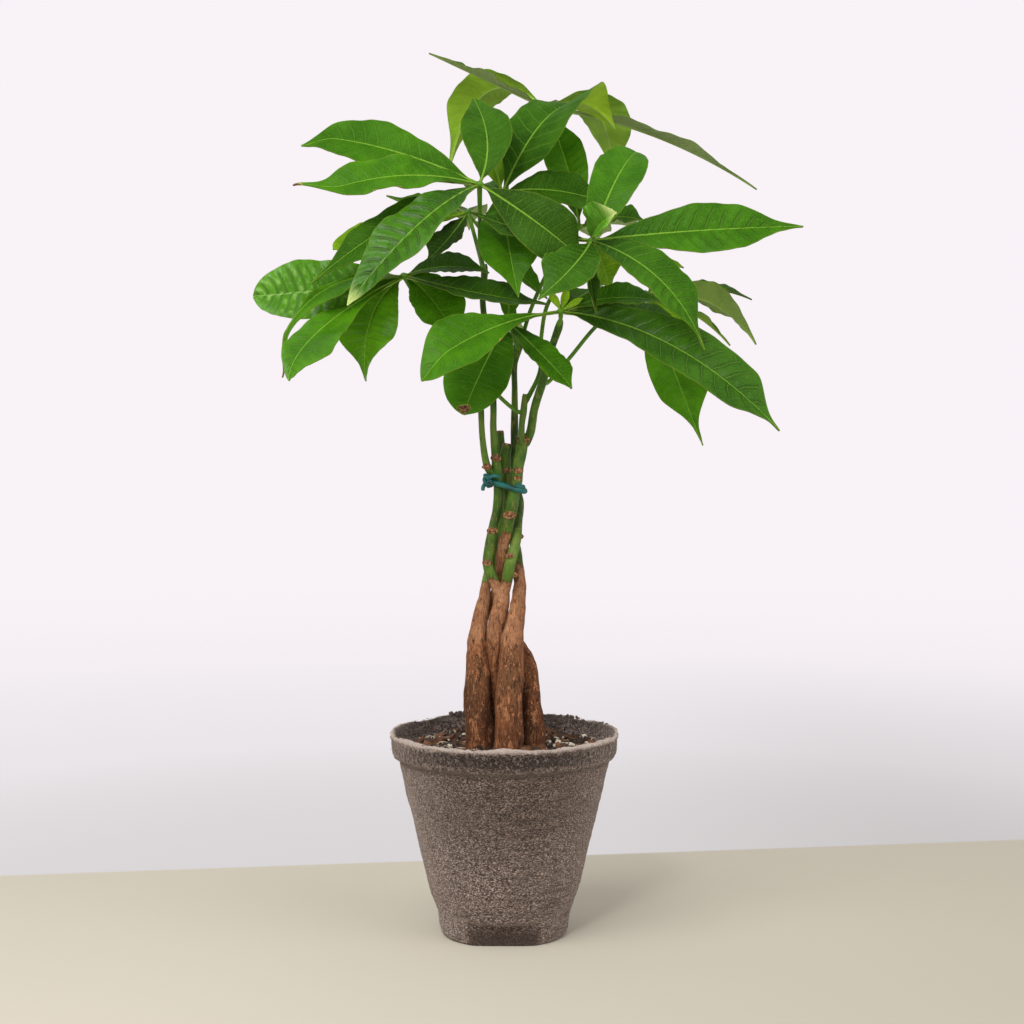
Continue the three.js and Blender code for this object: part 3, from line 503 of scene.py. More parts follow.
def tube(points, sides, step, ridges=0, roughness=0):
    """A round stem along a curve. Ridges are its flats and bulges, and roughness is its bark's grain."""
    centres, tangents, radii = curve(points, step)
    radii[0] *= TUBE_END
    radii[-1] *= TUBE_END
    piece, flat, _, row = grid(sides, len(centres) - 1)
    across = carried(tangents, (1, 0, 0))
    side = np.cross(across, tangents)
    angle = (flat + 1) * math.pi
    bulge = np.sin(3 * angle + 0.25 * row) + 0.6 * np.sin(5 * angle - 0.15 * row)
    out = across[row] * np.cos(angle)[:, None] + side[row] * np.sin(angle)[:, None]
    radius = radii[row] * (1 + ridges * bulge)
    places = centres[row] + out * radius[:, None]
    if roughness:
        stretched = places * (1, 1, 0.22)
        lumps = grain(stretched, 1.5, seed=1) * 0.5 + grain(places, 6, seed=2) * 0.6
        places += out * (roughness * lumps)[:, None]
    move_corners(piece, places)
    close(piece)
    return piece


# Material nodes. Places here are in metres, as a mesh's are, and a noise's scale is its lumps in a metre.

def rgb(red, green, blue):
    """A colour as seen on a screen, from 0 to 255, as a node's colour"""
    parts = [value / 255 for value in (red, green, blue)]
    return (*[p / 12.92 if p <= 0.04045 else ((p + 0.055) / 1.055) ** 2.4 for p in parts], 1)


class Result:
    """What a node gives. Arithmetic with it adds the nodes that work it out."""

    def __init__(self, tree, socket):
        self.tree = tree
        self.socket = socket

    def __add__(self, other):
        return calculate("ADD", self, other)

    def __sub__(self, other):
        return calculate("SUBTRACT", self, other)

    def __rsub__(self, other):
        return calculate("SUBTRACT", other, self)

    def __mul__(self, other):
        return calculate("MULTIPLY", self, other)

    def __truediv__(self, other):
        return calculate("DIVIDE", self, other)

    def __abs__(self):
        return calculate("ABSOLUTE", self)


def set_inputs(made, values):
    """Sets a node's inputs by name or place, and links those that another node gives"""
    for key, value in values.items():
        if isinstance(value, Result):
            value.tree.links.new(value.socket, made.inputs[key])
        else:
            made.inputs[key].default_value = value


def node(tree, kind, values, output=0, **settings):
    """Adds a node with its settings and inputs, and gives one of its outputs"""
    made = tree.nodes.new("ShaderNode" + kind)
    for key, value in settings.items():
        setattr(made, key, value)
    set_inputs(made, values)
    return Result(tree, made.outputs[output])


def calculate(operation, *values):
    tree = next(value.tree for value in values if isinstance(value, Result))
    return node(tree, "Math", dict(enumerate(values)), operation=operation)


def larger(first, second):
    return calculate("MAXIMUM", first, second)


def mask(value, low, high, to_low=0, to_high=1):
    """A soft step from one value to another"""
    values = {"Value": value, "From Min": low, "From Max": high, "To Min": to_low, "To Max": to_high}
    return node(value.tree, "MapRange", values, "Result", interpolation_type="SMOOTHSTEP")


def fall(value, low, high, top=1):
    """A soft step down to nothing"""
    return mask(value, low, high, top, 0)


def blend(factor, first, second, kind="MIX"):
    return node(factor.tree, "Mix", {0: factor, 6: first, 7: second}, 2, data_type="RGBA", blend_type=kind)


def layered(color, *layers):
    """Lays colours over one another. Each layer is where it goes, its colour and how it blends."""
    for where, shade, *kind in layers:
        color = blend(where, color, rgb(*shade), *kind)
    return color


def ramp(value, *stops):
    made = value.tree.nodes.new("ShaderNodeValToRGB")
    set_inputs(made, {"Fac": value})
    points = made.color_ramp.elements
    while len(points) < len(stops):
        points.new(0.5)
    for point, (place, shade) in zip(points, stops):
        point.position = place
        point.color = rgb(*shade)
    return Result(value.tree, made.outputs["Color"])


def attribute(tree, name):
    return node(tree, "Attribute", {}, "Fac", attribute_name=name)


def object_place(tree, stretch=(1, 1, 1)):
    place = node(tree, "TexCoord", {}, "Object")
    return node(tree, "Mapping", {"Vector": place, "Scale": stretch}, "Vector")


def axes_of(tree):
    place = object_place(tree)
    return [node(tree, "SeparateXYZ", {0: place}, axis) for axis in "XYZ"]


def noise_of(tree, scale, detail=3, roughness=0.5, stretch=(1, 1, 1)):
    values = {"Vector": object_place(tree, stretch), "Scale": scale, "Detail": detail, "Roughness": roughness}
    return node(tree, "TexNoise", values, "Fac")


def bump(height, strength, distance):
    return node(height.tree, "Bump", {"Height": height, "Strength": strength, "Distance": distance}, "Normal")


def new_material(name):
    material = bpy.data.materials.new(name)
    material.use_nodes = True
    return material, material.node_tree, material.node_tree.nodes["Principled BSDF"]


# Shared effects

def give(tree, values):
    """Makes a group's outputs, and links what they give"""
    for name in values:
        tree.interface.new_socket(name, in_out="OUTPUT", socket_type="NodeSocketFloat")
    set_inputs(tree.nodes.new("NodeGroupOutput"), values)
    return tree


def vein_group():
    """Where a blade's midrib, side veins, fine net and margin lie, and its valleys and crests, where the leaf
    top paints shade and glints, from what its corners keep
    """
    tree = bpy.data.node_groups.new("leaf veins", "ShaderNodeTree")
    rib_width = mask(attribute(tree, "along"), 0, 1, 0.95, 0.3)
    phase = calculate("FRACT", attribute(tree, "phase") + noise_of(tree, 70, 2) * 0.55)
    off_vein = calculate("MINIMUM", phase, 1 - phase)
    fade = mask(attribute(tree, "edge_mm"), 0.6, 5)
    creases = fall(abs(noise_of(tree, 130) - 0.5), 0, 0.03, 0.45)
    broken = mask(noise_of(tree, 240, 2), 0.44, 0.62)
    cells = node(tree, "TexVoronoi", {"Vector": object_place(tree), "Scale": 620}, "Distance",
                 feature="DISTANCE_TO_EDGE")
    return give(tree, {
        "Rib": fall(attribute(tree, "rib_mm") / rib_width, 0.35, 0.75),
        "Side Veins": fall(off_vein, 0.01, 0.06) * fade,
        # Valleys and creases, where the leaf top paints shade and sinks its bump
        "Valleys": larger(fall(off_vein, 0, 0.24), creases) * fade,
        # Crests between the veins, where the leaf top paints glints
        "Crests": mask(off_vein, 0.2, 0.42) * (broken * fade),
        "Net": fall(cells, 0.02, 0.14),
        "Margin": fall(attribute(tree, "edge_mm"), 0.2, 0.6),
    })


def mottle_group():
    """Soft patches and fine specks, each from 0 to 1, at a scale of its own"""
    tree = bpy.data.node_groups.new("mottle", "ShaderNodeTree")
    for name, scale in (("Patch Scale", 40), ("Speck Scale", 600)):
        tree.interface.new_socket(name, in_out="INPUT", socket_type="NodeSocketFloat").default_value = scale
    starts = tree.nodes.new("NodeGroupInput").outputs
    patches = noise_of(tree, Result(tree, starts["Patch Scale"]), 4, 0.55)
    specks = noise_of(tree, Result(tree, starts["Speck Scale"]), 2, 0.6)
    return give(tree, {"Patches": mask(patches, 0.32, 0.68), "Specks": mask(specks, 0.35, 0.65)})


def grouped(tree, group, values):
    made = tree.nodes.new("ShaderNodeGroup")
    made.node_tree = group
    set_inputs(made, values)
    return {output.name: Result(tree, output) for output in made.outputs}


def mottled(tree, patch_scale, speck_scale):
    made = grouped(tree, MOTTLE, {"Patch Scale": patch_scale, "Speck Scale": speck_scale})
    return made["Patches"], made["Specks"]


VEINS = vein_group()
MOTTLE = mottle_group()


# Finishes

def burnt(tree, color):
    """A blade's colour where it has died: a pale yellow edge round brown"""
    ragged = noise_of(tree, 900)
    burn = attribute(tree, "burn") - ragged * 0.5
    brown = blend(mask(ragged, 0.4, 0.6), rgb(62, 42, 30), rgb(138, 104, 66))
    return blend(mask(burn, 0.25, 0.42), layered(color, (mask(burn, 0.1, 0.25), (170, 165, 70))), brown)


def leaf_top_material():
    """Green by the leaflet's tint, with painted shade near the hub and in the valleys, painted glints on the
    crests of glossy blades, and pale veins
    """
    material, tree, shader = new_material("leaf top")
    vein = grouped(tree, VEINS, {})
    patches, specks = mottled(tree, 55, 900)
    base = ramp(attribute(tree, "tint"), (0.15, (42, 70, 14)), (0.35, (52, 92, 12)), (0.5, (64, 116, 8)),
                (0.7, (84, 144, 14)), (0.95, (134, 174, 18)))
    # Painted shade: the blade darker towards its hub
    painted_shade_near_hub = fall(attribute(tree, "along"), 0, 0.5, 0.5)
    # The valleys between the side veins, which take painted shade and sink the bump
    sunk = vein["Valleys"] * attribute(tree, "quilted")
    shine = attribute(tree, "gloss")
    green = layered(
        base,
        (patches * 0.75, (164, 186, 96), "MULTIPLY"),
        # Painted shade near the hub and in the valleys
        (larger(painted_shade_near_hub, sunk), (80, 108, 56), "MULTIPLY"),
        # Painted glints on the crests of glossy blades
        (vein["Crests"] * mask(shine, 0.7, 1, 0, 0.75), (150, 190, 100)),
        (vein["Net"] * 0.13, (96, 148, 40)),
        (vein["Side Veins"] * 0.3, (112, 160, 48)),
        (vein["Margin"] * 0.35, (118, 132, 36)),
        (vein["Rib"] * 0.65, (130, 172, 56)),
        (attribute(tree, "pale"), (184, 198, 118)),
    )
    relief = specks * 0.1 - (sunk + (vein["Net"] + vein["Side Veins"]) * 0.2)
    set_inputs(shader, {
        "Base Color": burnt(tree, green),
        "Roughness": mask(patches, 0, 1, 0.48, 0.58) - shine * 0.22,
        "Normal": bump(relief, 0.8, 0.0006),
        "Coat Weight": mask(shine, 0.1, 1, 0, 0.4),
        "Coat Roughness": 0.3,
        "Specular IOR Level": 0.06,
    })
    return material


def leaf_under_material():
    """A paler, duller green, with the veins raised. Its greens are lighter than the underside's own, as
    painted light on the shaded side and through the blade.
    """
    material, tree, shader = new_material("leaf underside")
    vein = grouped(tree, VEINS, {})
    patches, _ = mottled(tree, 70, 900)
    # The underside's greens, lightened by painted light
    base = ramp(attribute(tree, "under"), (0.25, (142, 162, 100)), (0.5, (134, 164, 76)),
                (0.75, (128, 168, 44)), (0.95, (158, 198, 36)))
    green = layered(
        base,
        (patches * 0.5, (205, 212, 190), "MULTIPLY"),
        (vein["Net"] * 0.15, (154, 182, 92)),
        (vein["Side Veins"] * 0.35, (112, 140, 52)),
        (vein["Rib"] * 0.8, (160, 190, 92)),
    )
    normal = bump(vein["Net"] + vein["Side Veins"], 0.4, 0.00012)
    set_inputs(shader, {"Base Color": burnt(tree, green), "Roughness": 0.62, "Normal": normal,
                        "Specular IOR Level": 0.15})
    return material


def stem_material():
    """Green shoots above brown bark, which is stained, chipped and cracked lengthwise, with a dark foot,
    painted shadows round its flakes and painted shade on some trunks
    """
    material, tree, shader = new_material("stem bark and green skin")
    patches, _ = mottled(tree, 55, 700)
    height = axes_of(tree)[2]
    streaks = noise_of(tree, 620, 6, 0.7, (1, 1, 0.16))
    grit = noise_of(tree, 1000, 4, 0.7, (1, 1, 0.34))
    stains = noise_of(tree, 110, 4, 0.6, (1, 1, 0.3))
    peel = noise_of(tree, 210, 5, 0.65, (1, 1, 0.4))
    flakes = noise_of(tree, 400, 4, 0.7, (1, 1, 0.55))
    lines = noise_of(tree, 800, 3, 0.6, (1, 1, 0.2))
    seams = abs(noise_of(tree, 300, 3, 0.6, (1, 1, 0.07)) - 0.5)
    cracks = fall(streaks, 0.36, 0.42)
    young = mask(height + streaks * 0.04, 0.187, 0.1885)
    grained = mask(young, 0, 1, 1, 0.45)
    brown = ramp(stains, (0.34, (110, 74, 46)), (0.44, (129, 84, 53)), (0.54, (146, 93, 58)),
                 (0.66, (170, 112, 72)))
    smooth = ramp(patches, (0, (134, 89, 60)), (0.5, (166, 116, 81)), (1, (192, 146, 108)))
    footed = layered(brown, (fall(height, 0.118, 0.155, 0.9), (190, 178, 168), "MULTIPLY"))
    bark = layered(
        blend(young, footed, smooth),
        # Painted shade on the trunks that stand in shade
        (attribute(tree, "shade"), (222, 213, 201), "MULTIPLY"),
        # Painted shadow round each lifted flake, then the flake's paler face
        (mask(flakes, 0.565, 0.6) * fall(flakes, 0.6, 0.61, 0.7), (60, 36, 22)),
        (mask(flakes, 0.605, 0.62, 0, 0.75), (200, 132, 88)),
        # A paler peeled patch, then a painted shadow round its edge
        (mask(peel, 0.575, 0.6, 0, 0.6), (182, 122, 80)),
        (mask(peel, 0.535, 0.56) * fall(peel, 0.56, 0.57, 0.8), (66, 38, 24)),
        (mask(grit, 0.56, 0.66, 0, 0.4) * grained, (206, 156, 114)),
        (fall(grit, 0.38, 0.47, 0.55) * grained, (62, 36, 24)),
        (fall(seams, 0.004, 0.016, 0.8) * grained, (50, 29, 18)),
        (cracks * mask(young, 0, 1, 0.5, 0.3), (56, 32, 20)),
    )
    fresh = ramp(patches, (0, (38, 70, 8)), (0.6, (62, 100, 18)), (1, (92, 120, 36)))
    older = ramp(patches, (0, (54, 82, 14)), (0.6, (80, 112, 28)), (1, (114, 134, 54)))
    skin = blend(mask(height, 0.215, 0.265), older, fresh)
    skin = layered(skin, (mask(lines, 0.5, 0.7, 0, 0.6), (132, 116, 58)))
    green = mask(attribute(tree, "green") + (streaks - 0.5) * 0.9, 0.42, 0.58)
    dead = blend(mask(grit, 0.35, 0.65), rgb(58, 32, 20), rgb(184, 134, 92))
    relief = (streaks + grit - cracks) * mask(green, 0, 1, 1, 0.12)
    set_inputs(shader, {
        "Base Color": blend(attribute(tree, "scar"), blend(green, bark, skin), dead),
        "Roughness": mask(green, 0, 1, 0.85, 0.5),
        "Normal": bump(relief, 1, 0.0008),
        "Specular IOR Level": 0.25,
    })
    return material


def fibre_material():
    """Grey-brown moulded fibre: matted threads, pits, mesh lines and a torn lip, with painted shade on the
    front and inside
    """
    material, tree, shader = new_material("moulded fibre")
    patches, _ = mottled(tree, 26, 620)
    across, depth, height = axes_of(tree)
    clumps = noise_of(tree, 1350, 4, 0.75, (0.65, 0.65, 1.15))
    threads = noise_of(tree, 560, 3, 0.6, (0.09, 0.09, 1))
    torn = noise_of(tree, 620, 3, 0.7)
    flecks = fall(noise_of(tree, 560, 3, 0.65, (0.7, 0.7, 1.2)), 0.37, 0.43)
    hairs = fall(abs(noise_of(tree, 330, 2, 0.6) - 0.5), 0.005, 0.03, 0.55)
    lines = fall(threads, 0.36, 0.46) * (mask(across, -0.03, 0.03, 0.25) * mask(patches, 0.1, 0.9, 0.3))
    level = height + clumps * 0.003
    rim = mask(level, 0.101, 0.1045)
    lip = mask(level, 0.1065, 0.109) * fall(level, 0.1135, 0.116)
    # Where painted shade falls on the front of the pot, most at the middle
    front = mask(abs(across), 0.025, 0.06, 1, 0.3) * fall(depth, -0.03, 0)
    ragged = clumps * 0.004
    low = fall(height + ragged, 0.007, 0.017)
    notch = low * fall(abs(across) + ragged, 0.0185, 0.0255, 0.85) * fall(depth, -0.028, -0.02)
    grey = ramp(clumps, (0.39, (20, 13, 12)), (0.455, (68, 53, 47)), (0.495, (110, 92, 84)),
                (0.55, (148, 129, 118)), (0.62, (214, 196, 184)))
    fibre = layered(
        grey,
        (patches * 0.3, (104, 87, 78)),
        (hairs, (62, 48, 42)),
        (flecks * 0.8, (36, 26, 22)),
        (lines * 0.75, (54, 42, 36)),
        # Painted shade on the front of the body, deeper towards the lip
        (mask(height, 0.03, 0.09) * front, (206, 202, 199), "MULTIPLY"),
        (lip * mask(depth, -0.06, -0.02, 0.85, 0.2), (104, 91, 85), "MULTIPLY"),
        (rim * fall(torn, 0.38, 0.5, 0.8), (40, 31, 28)),
        (rim * mask(torn, 0.54, 0.64, 0, 0.4), (170, 152, 141)),
        (mask(level, 0.115, 0.1172, 0, 0.65), (210, 192, 180)),
        (notch, (50, 38, 33)),
        # Painted shade inside the pot
        (attribute(tree, "inside") * 0.85, (36, 28, 26)),
    )
    lumps = noise_of(tree, 330) * mask(level, 0.101, 0.105, 0, 4)
    set_inputs(shader, {
        "Base Color": fibre,
        "Roughness": 0.95,
        "Normal": bump(clumps - (flecks + lines) * 0.35 + lumps, 1, 0.0007),
        "Specular IOR Level": 0.1,
        "Sheen Weight": 0.55,
        "Sheen Tint": rgb(214, 198, 186),
    })
    return material


def plain_material(name, dark, light, roughness, scales=(160, 1500), relief=(0.5, 0.0002), specular=0.5):
    """A small thing's colour, in patches between two shades"""
    material, tree, shader = new_material(name)
    patches, specks = mottled(tree, *scales)
    set_inputs(shader, {"Base Color": blend(patches, rgb(*dark), rgb(*light)), "Roughness": roughness,
                        "Normal": bump(specks, *relief), "Specular IOR Level": specular})
    return material


def round_place(distance, angle, height=0):
    """A place by its distance and direction from the pot's middle line"""
    return (distance * math.cos(angle), distance * math.sin(angle), height)


# Pot

def resampled(profile, step):
    """More corners along a profile of radius and height, at most a step apart"""
    fine = [profile[0]]
    for (r0, z0), (r1, z1) in zip(profile, profile[1:]):
        count = max(1, math.ceil(math.hypot(r1 - r0, z1 - z0) / step))
        for i in range(1, count + 1):
            share = i / count
            fine.append((r0 + (r1 - r0) * share, z0 + (z1 - z0) * share))
    return fine


def turned(profile, segments):
    """Pulls a circle up ring by ring through a profile of radius and height, and closes both ends"""
    deselect()
    radius, height = profile[0]
    bpy.ops.mesh.primitive_circle_add(vertices=segments, radius=radius * MM, location=(0, 0, height * MM))
    piece = bpy.context.object
    bpy.ops.object.mode_set(mode="EDIT")
    bpy.ops.mesh.select_all(action="SELECT")
    for (r0, z0), (r1, z1) in zip(profile, profile[1:]):
        bpy.ops.mesh.extrude_region_move(TRANSFORM_OT_translate={"value": (0, 0, (z1 - z0) * MM)})
        bpy.ops.transform.resize(value=(r1 / r0, r1 / r0, 1), center_override=(0, 0, z1 * MM))
    bpy.ops.object.mode_set(mode="OBJECT")
    settle(piece)
    close(piece)
    return piece


def pot_profile():
    """Outside from the underside's middle up over the lip, then down the inside to its floor"""
    lip = POT_HEIGHT - LIP_HEIGHT
    low = BODY_LOW_RADIUS
    top = BODY_TOP_RADIUS
    rim = RIM_RADIUS
    foot = FOOT_RADIUS
    outside = [
        (6, 0), (foot - 4, 0), (foot - 1.6, 0.7), (foot - 0.6, 2.4), (foot, 5), (foot + 0.6, 11),
        (foot + 1.2, FOOT_HEIGHT), (foot + 3, 19), (low, BODY_LOW_HEIGHT), (low + 1.4, 30),
        (top - 0.8, lip - 6.5), (top, lip - 1.6), (top + 0.9, lip - 0.5), (rim - 1.8, lip + 0.7),
        (rim - 1, lip + 2.6), (rim - 0.5, POT_HEIGHT - 8), (rim - 0.4, POT_HEIGHT - 3.4),
        (rim + 0.2, POT_HEIGHT - 2), (rim - 0.1, POT_HEIGHT - 0.6), (rim - 1.1, POT_HEIGHT),
    ]
    inside = [
        (rim - 2.4, POT_HEIGHT - 0.2), (rim - WALL, POT_HEIGHT - 1.5), (rim - WALL - 0.6, lip + 3),
        (top - WALL, lip), (low - WALL, BODY_LOW_HEIGHT), (foot - WALL, 8), (foot - WALL - 3, WALL),
        (6, WALL),
    ]
    return outside, inside


def notch_ways():
    """The directions of the notches in the foot, with the first one to the front"""
    return [round_place(1, -math.pi / 2 + i * 2 * math.pi / NOTCH_COUNT)[:2] for i in range(NOTCH_COUNT)]


def notch_inward(places, inner):
    """Flattens the foot at its notches, with a soft shoulder, and its inside behind them"""
    dent = 1 - smoothstep(NOTCH_HEIGHT - 1, NOTCH_HEIGHT + 2.5, places[:, 2] - WALL * inner)
    limit = NOTCH_DISTANCE - WALL * inner
    for way in notch_ways():
        over = np.maximum(places[:, :2] @ np.array(way) - limit, 0) * dent
        places[:, :2] -= np.array(way) * over[:, None]
    return places


def drain_holes(pot):
    for x, y in notch_ways():
        deselect()
        bpy.ops.mesh.primitive_cylinder_add(vertices=24, radius=DRAIN_RADIUS * MM, depth=4 * WALL * MM,
                                            location=(DRAIN_DISTANCE * x * MM, DRAIN_DISTANCE * y * MM, 0))
        cutter = bpy.context.object
        apply_modifier(pot, "BOOLEAN", operation="DIFFERENCE", object=cutter, solver="EXACT")
        bpy.data.objects.remove(cutter)


def make_pot(material):
    """The pot, with a clumpy wall, a notched foot, drain holes and a torn rim"""
    outside, inside = pot_profile()
    pot = turned(resampled(outside, POT_ROW) + resampled(inside, 2.5 * POT_ROW), POT_SEGMENTS)
    drain_holes(pot)
    places = corners(pot)
    radius = np.hypot(places[:, 0], places[:, 1])
    out = np.column_stack((places[:, 0], places[:, 1], 0 * radius)) / np.maximum(radius, 1)[:, None]
    heights = [0, FOOT_HEIGHT - 6, FOOT_HEIGHT, BODY_LOW_HEIGHT, POT_HEIGHT - LIP_HEIGHT, POT_HEIGHT]
    radii = [FOOT_RADIUS, FOOT_RADIUS, FOOT_RADIUS + 1.5, BODY_LOW_RADIUS, BODY_TOP_RADIUS, RIM_RADIUS - 0.3]
    inner = radius < np.interp(places[:, 2], heights, radii) - WALL / 2
    inner &= places[:, 2] > 0.5 * WALL
    standing = smoothstep(0.3, 3, places[:, 2])
    torn = smoothstep(POT_HEIGHT - 4, POT_HEIGHT - 1, places[:, 2])
    angle = np.arctan2(places[:, 1], places[:, 0])
    wobble = np.sin(7 * angle) + 0.6 * np.sin(12 * angle + 1) - 1
    clumps = 0.34 * grain(places, 3.2, seed=3) + 0.5 * grain(places, 14, seed=4)
    fuzz = grain(places, 1.4, seed=5)
    places = notch_inward(places + out * ((clumps + 0.2 * fuzz) * standing)[:, None], inner)
    places += out * (torn * 1.3 * grain(places, 2.2, seed=6))[:, None]
    places[:, 2] += torn * (RIM_WOBBLE * wobble + 0.9 * fuzz + 0.6 * grain(places, 5, seed=7))
    move_corners(pot, places)
    # Marks the inside of the wall, where the material paints shade
    paint(pot, "inside", inner.astype(float))
    return finished("pot_fibre", [pot], material)


# Soil

def soil_bump(x, y):
    return SOIL_BUMP * (np.sin(0.21 * x + 1) * np.cos(0.17 * y) + 0.5 * np.sin(0.4 * (x + y)))


def make_soil(material):
    profile = [(SOIL_RADIUS - 4, SOIL_HEIGHT - 14), (SOIL_RADIUS - 1.4, SOIL_HEIGHT - 12)]
    profile += [(SOIL_RADIUS - 0.5, SOIL_HEIGHT - 5), (SOIL_RADIUS, SOIL_HEIGHT - 1)]
    profile += [(SOIL_RADIUS * share, SOIL_HEIGHT) for share in np.linspace(0.97, 0.02, SOIL_RINGS)]
    soil = turned(profile, SOIL_SEGMENTS)
    places = corners(soil)
    lumps = soil_bump(places[:, 0], places[:, 1])
    lumps = lumps + 0.9 * grain(places, 2.6, seed=8) + 0.9 * grain(places, 7, seed=9)
    places[:, 2] += np.where(places[:, 2] > SOIL_HEIGHT - 0.5, lumps, 0)
    move_corners(soil, places)
    return finished("soil_bed", [soil], material, 70)


def rough_bit(shape, stretch, roughness):
    """One bit of bark or grain, a millimetre wide, as a lump with broken sides"""
    deselect()
    if shape == "chip":
        bpy.ops.mesh.primitive_cube_add(size=MM)
        bpy.ops.object.mode_set(mode="EDIT")
        bpy.ops.mesh.select_all(action="SELECT")
        bpy.ops.mesh.subdivide(number_cuts=1)
        bpy.ops.object.mode_set(mode="OBJECT")
    else:
        bpy.ops.mesh.primitive_ico_sphere_add(subdivisions=2, radius=MM / 2)
    piece = bpy.context.object
    places = corners(piece)
    places = (places + unit(places) * (roughness * grain(places, 0.6, seed=10))[:, None]) * stretch
    move_corners(piece, places)
    return piece


def scattered(name, bit, count, ring, sizes, sink, chance, material):
    """Copies of a bit all over the soil, clear of the stems, each turned its own way"""
    template = rough_bit(*bit)
    copies = []
    for _ in range(count):
        distance = math.sqrt(chance.uniform(ring[0] ** 2, ring[1] ** 2))
        x, y, _ = round_place(distance, chance.uniform(0, 2 * math.pi))
        size = chance.uniform(*sizes)
        turn = (chance.uniform(-0.5, 0.5), chance.uniform(-0.5, 0.5), chance.uniform(0, 6.3))
        copies.append(copy_of(template, (x, y, SOIL_HEIGHT + soil_bump(x, y) + sink * size), turn, size))
    bpy.data.objects.remove(template)
    return finished(name, copies, material, 40)


def rim_crumbs(chance, material):
    """Crumbs of soil left on the lip"""
    template = rough_bit("grain", (1, 0.8, 0.7), 0.5)
    crumbs = []
    for x, y, spread, count, size in CRUMB_CLUMPS:
        for _ in range(count):
            angle = math.atan2(y, x) + chance.gauss(0, spread / RIM_RADIUS)
            distance = RIM_RADIUS - 1.6 + chance.uniform(-0.7, 0.5)
            width = size * chance.uniform(0.5, 1.1)
            lift = POT_HEIGHT - 0.6 + width * chance.uniform(0.0, 0.3)
            turn = (chance.uniform(0, 3), chance.uniform(0, 3), chance.uniform(0, 3))
            crumbs.append(copy_of(template, round_place(distance, angle, lift), turn, width))
    bpy.data.objects.remove(template)
    return finished("rim_crumbs", crumbs, material, 40)


def rim_threads(chance, material):
    """Loose fibres that stick out of the lip"""
    threads = []
    for _ in range(RIM_THREADS):
        angle = chance.uniform(0, 2 * math.pi)
        distance = RIM_RADIUS - chance.uniform(-0.1, 2.2)
        height = POT_HEIGHT - 0.7 - (max(distance - RIM_RADIUS + 0.7, 0) * chance.uniform(1, 14))
        points = []
        for k in range(4):
            points.append((*round_place(distance, angle, height), 0.34 - 0.05 * k))
            angle += chance.uniform(-0.012, 0.012)
            distance += chance.uniform(-0.35, 0.45)
            height += chance.uniform(-0.25, 0.5)
        threads.append(tube(points, 4, 1.5))
    return finished("rim_threads", threads, material)


def root_threads(chance, material):
    """Pale roots that loop out of the soil"""
    threads = []
    for _ in range(ROOTS):
        angle = chance.uniform(0, 2 * math.pi)
        x, y, _ = round_place(chance.uniform(26, 53), angle)
        heading = chance.uniform(0, 2 * math.pi)
        points = []
        for k in range(5):
            heading += chance.uniform(-0.7, 0.7)
            x += ROOT_STEP * math.cos(heading)
            y += ROOT_STEP * math.sin(heading)
            if math.hypot(x, y) > SOIL_RADIUS - 1.5:
                break
            rise = 1.1 * math.sin(math.pi * k / 4) + chance.uniform(-0.2, 0.4)
            points.append((x, y, SOIL_HEIGHT + float(soil_bump(x, y)) + rise, ROOT_DIAMETER))
        if len(points) > 2:
            threads.append(tube(points, 6, 1.2))
    return finished("root_threads", threads, material)


# Stems

def paint_green(piece, bark_top):
    """Marks where green skin follows the bark, along the stem"""
    places = corners(piece)
    height = places[:, 2] + 5 * grain(places, 9, seed=11)
    paint(piece, "green", smoothstep(bark_top - BARK_FADE, bark_top + BARK_FADE, height))
    paint(piece, "scar", 0)


def make_scar(index, place, radius, size):
    """A raised eye where a leaf once sat, on the side of the stem that faces out"""
    deselect()
    bpy.ops.mesh.primitive_torus_add(major_radius=size * 0.72 * MM, minor_radius=size * 0.28 * MM,
                                     major_segments=18, minor_segments=8)
    ring = bpy.context.object
    bpy.ops.mesh.primitive_uv_sphere_add(segments=12, ring_count=8, radius=size * 0.5 * MM)
    eye = bpy.context.object
    eye.scale = (1, 1, 0.6)
    eye.location = (0, size * 0.12 * MM, 0)
    for part, share in ((ring, 1.0), (eye, 0.35)):
        settle(part)
        paint(part, "scar", share)
        paint(part, "green", 0.1)
    scar = join("scar", [ring, eye])
    places = corners(scar) * (1.15, 0.72, 1)
    places[:, 2] -= 0.16 / radius * places[:, 0] ** 2
    move_corners(scar, places * (1 + 0.32 * grain(places, 0.8, seed=index))[:, None])
    scar.rotation_euler = (math.radians(90), 0, math.radians(-12 + 9 * (index % 4)))
    scar.location = Vector((place[0], place[1] - radius + 0.1, place[2])) * MM
    settle(scar)
    return scar


def make_stem(name, trunk_points, shoots, material):
    trunk = tube(trunk_points, STEM_SIDES, STEM_STEP, 0.05, 0.6)
    paint_green(trunk, BARK_TOP[name])
    # How much painted shade the trunk's bark takes
    paint(trunk, "shade", PAINTED_BARK_SHADE.get(name, 0.0))
    if name in CUT_STEMS:
        height = corners(trunk)[:, 2]
        paint(trunk, "scar", smoothstep(height.max() - 2.2, height.max() - 0.6, height))
    parts = [trunk]
    for points in shoots:
        shoot = tube(points, SHOOT_SIDES, STEM_STEP, 0.02, 0.12)
        paint_green(shoot, SHOOT_BARK_TOP)
        parts.append(shoot)
    return finished(name + "_wood", parts, material)


# Tie

def tie_loop(height, slack, start, turn):
    """Points of the wire round the bundle: its outermost circle in each direction decides the way"""
    points = []
    count = max(12, round(turn / 9))
    for i in range(count + 1):
        angle = math.radians(start + turn * i / count)
        out = (math.cos(angle), math.sin(angle))
        x, y, r = max(TIE_BUNDLE, key=lambda circle: circle[0] * out[0] + circle[1] * out[1] + circle[2])
        reach = r + slack + TIE_RADIUS
        px = x + out[0] * reach
        points.append((px, y + out[1] * reach, height + TIE_SLOPE * (px - 2), 2 * TIE_RADIUS))
    return points


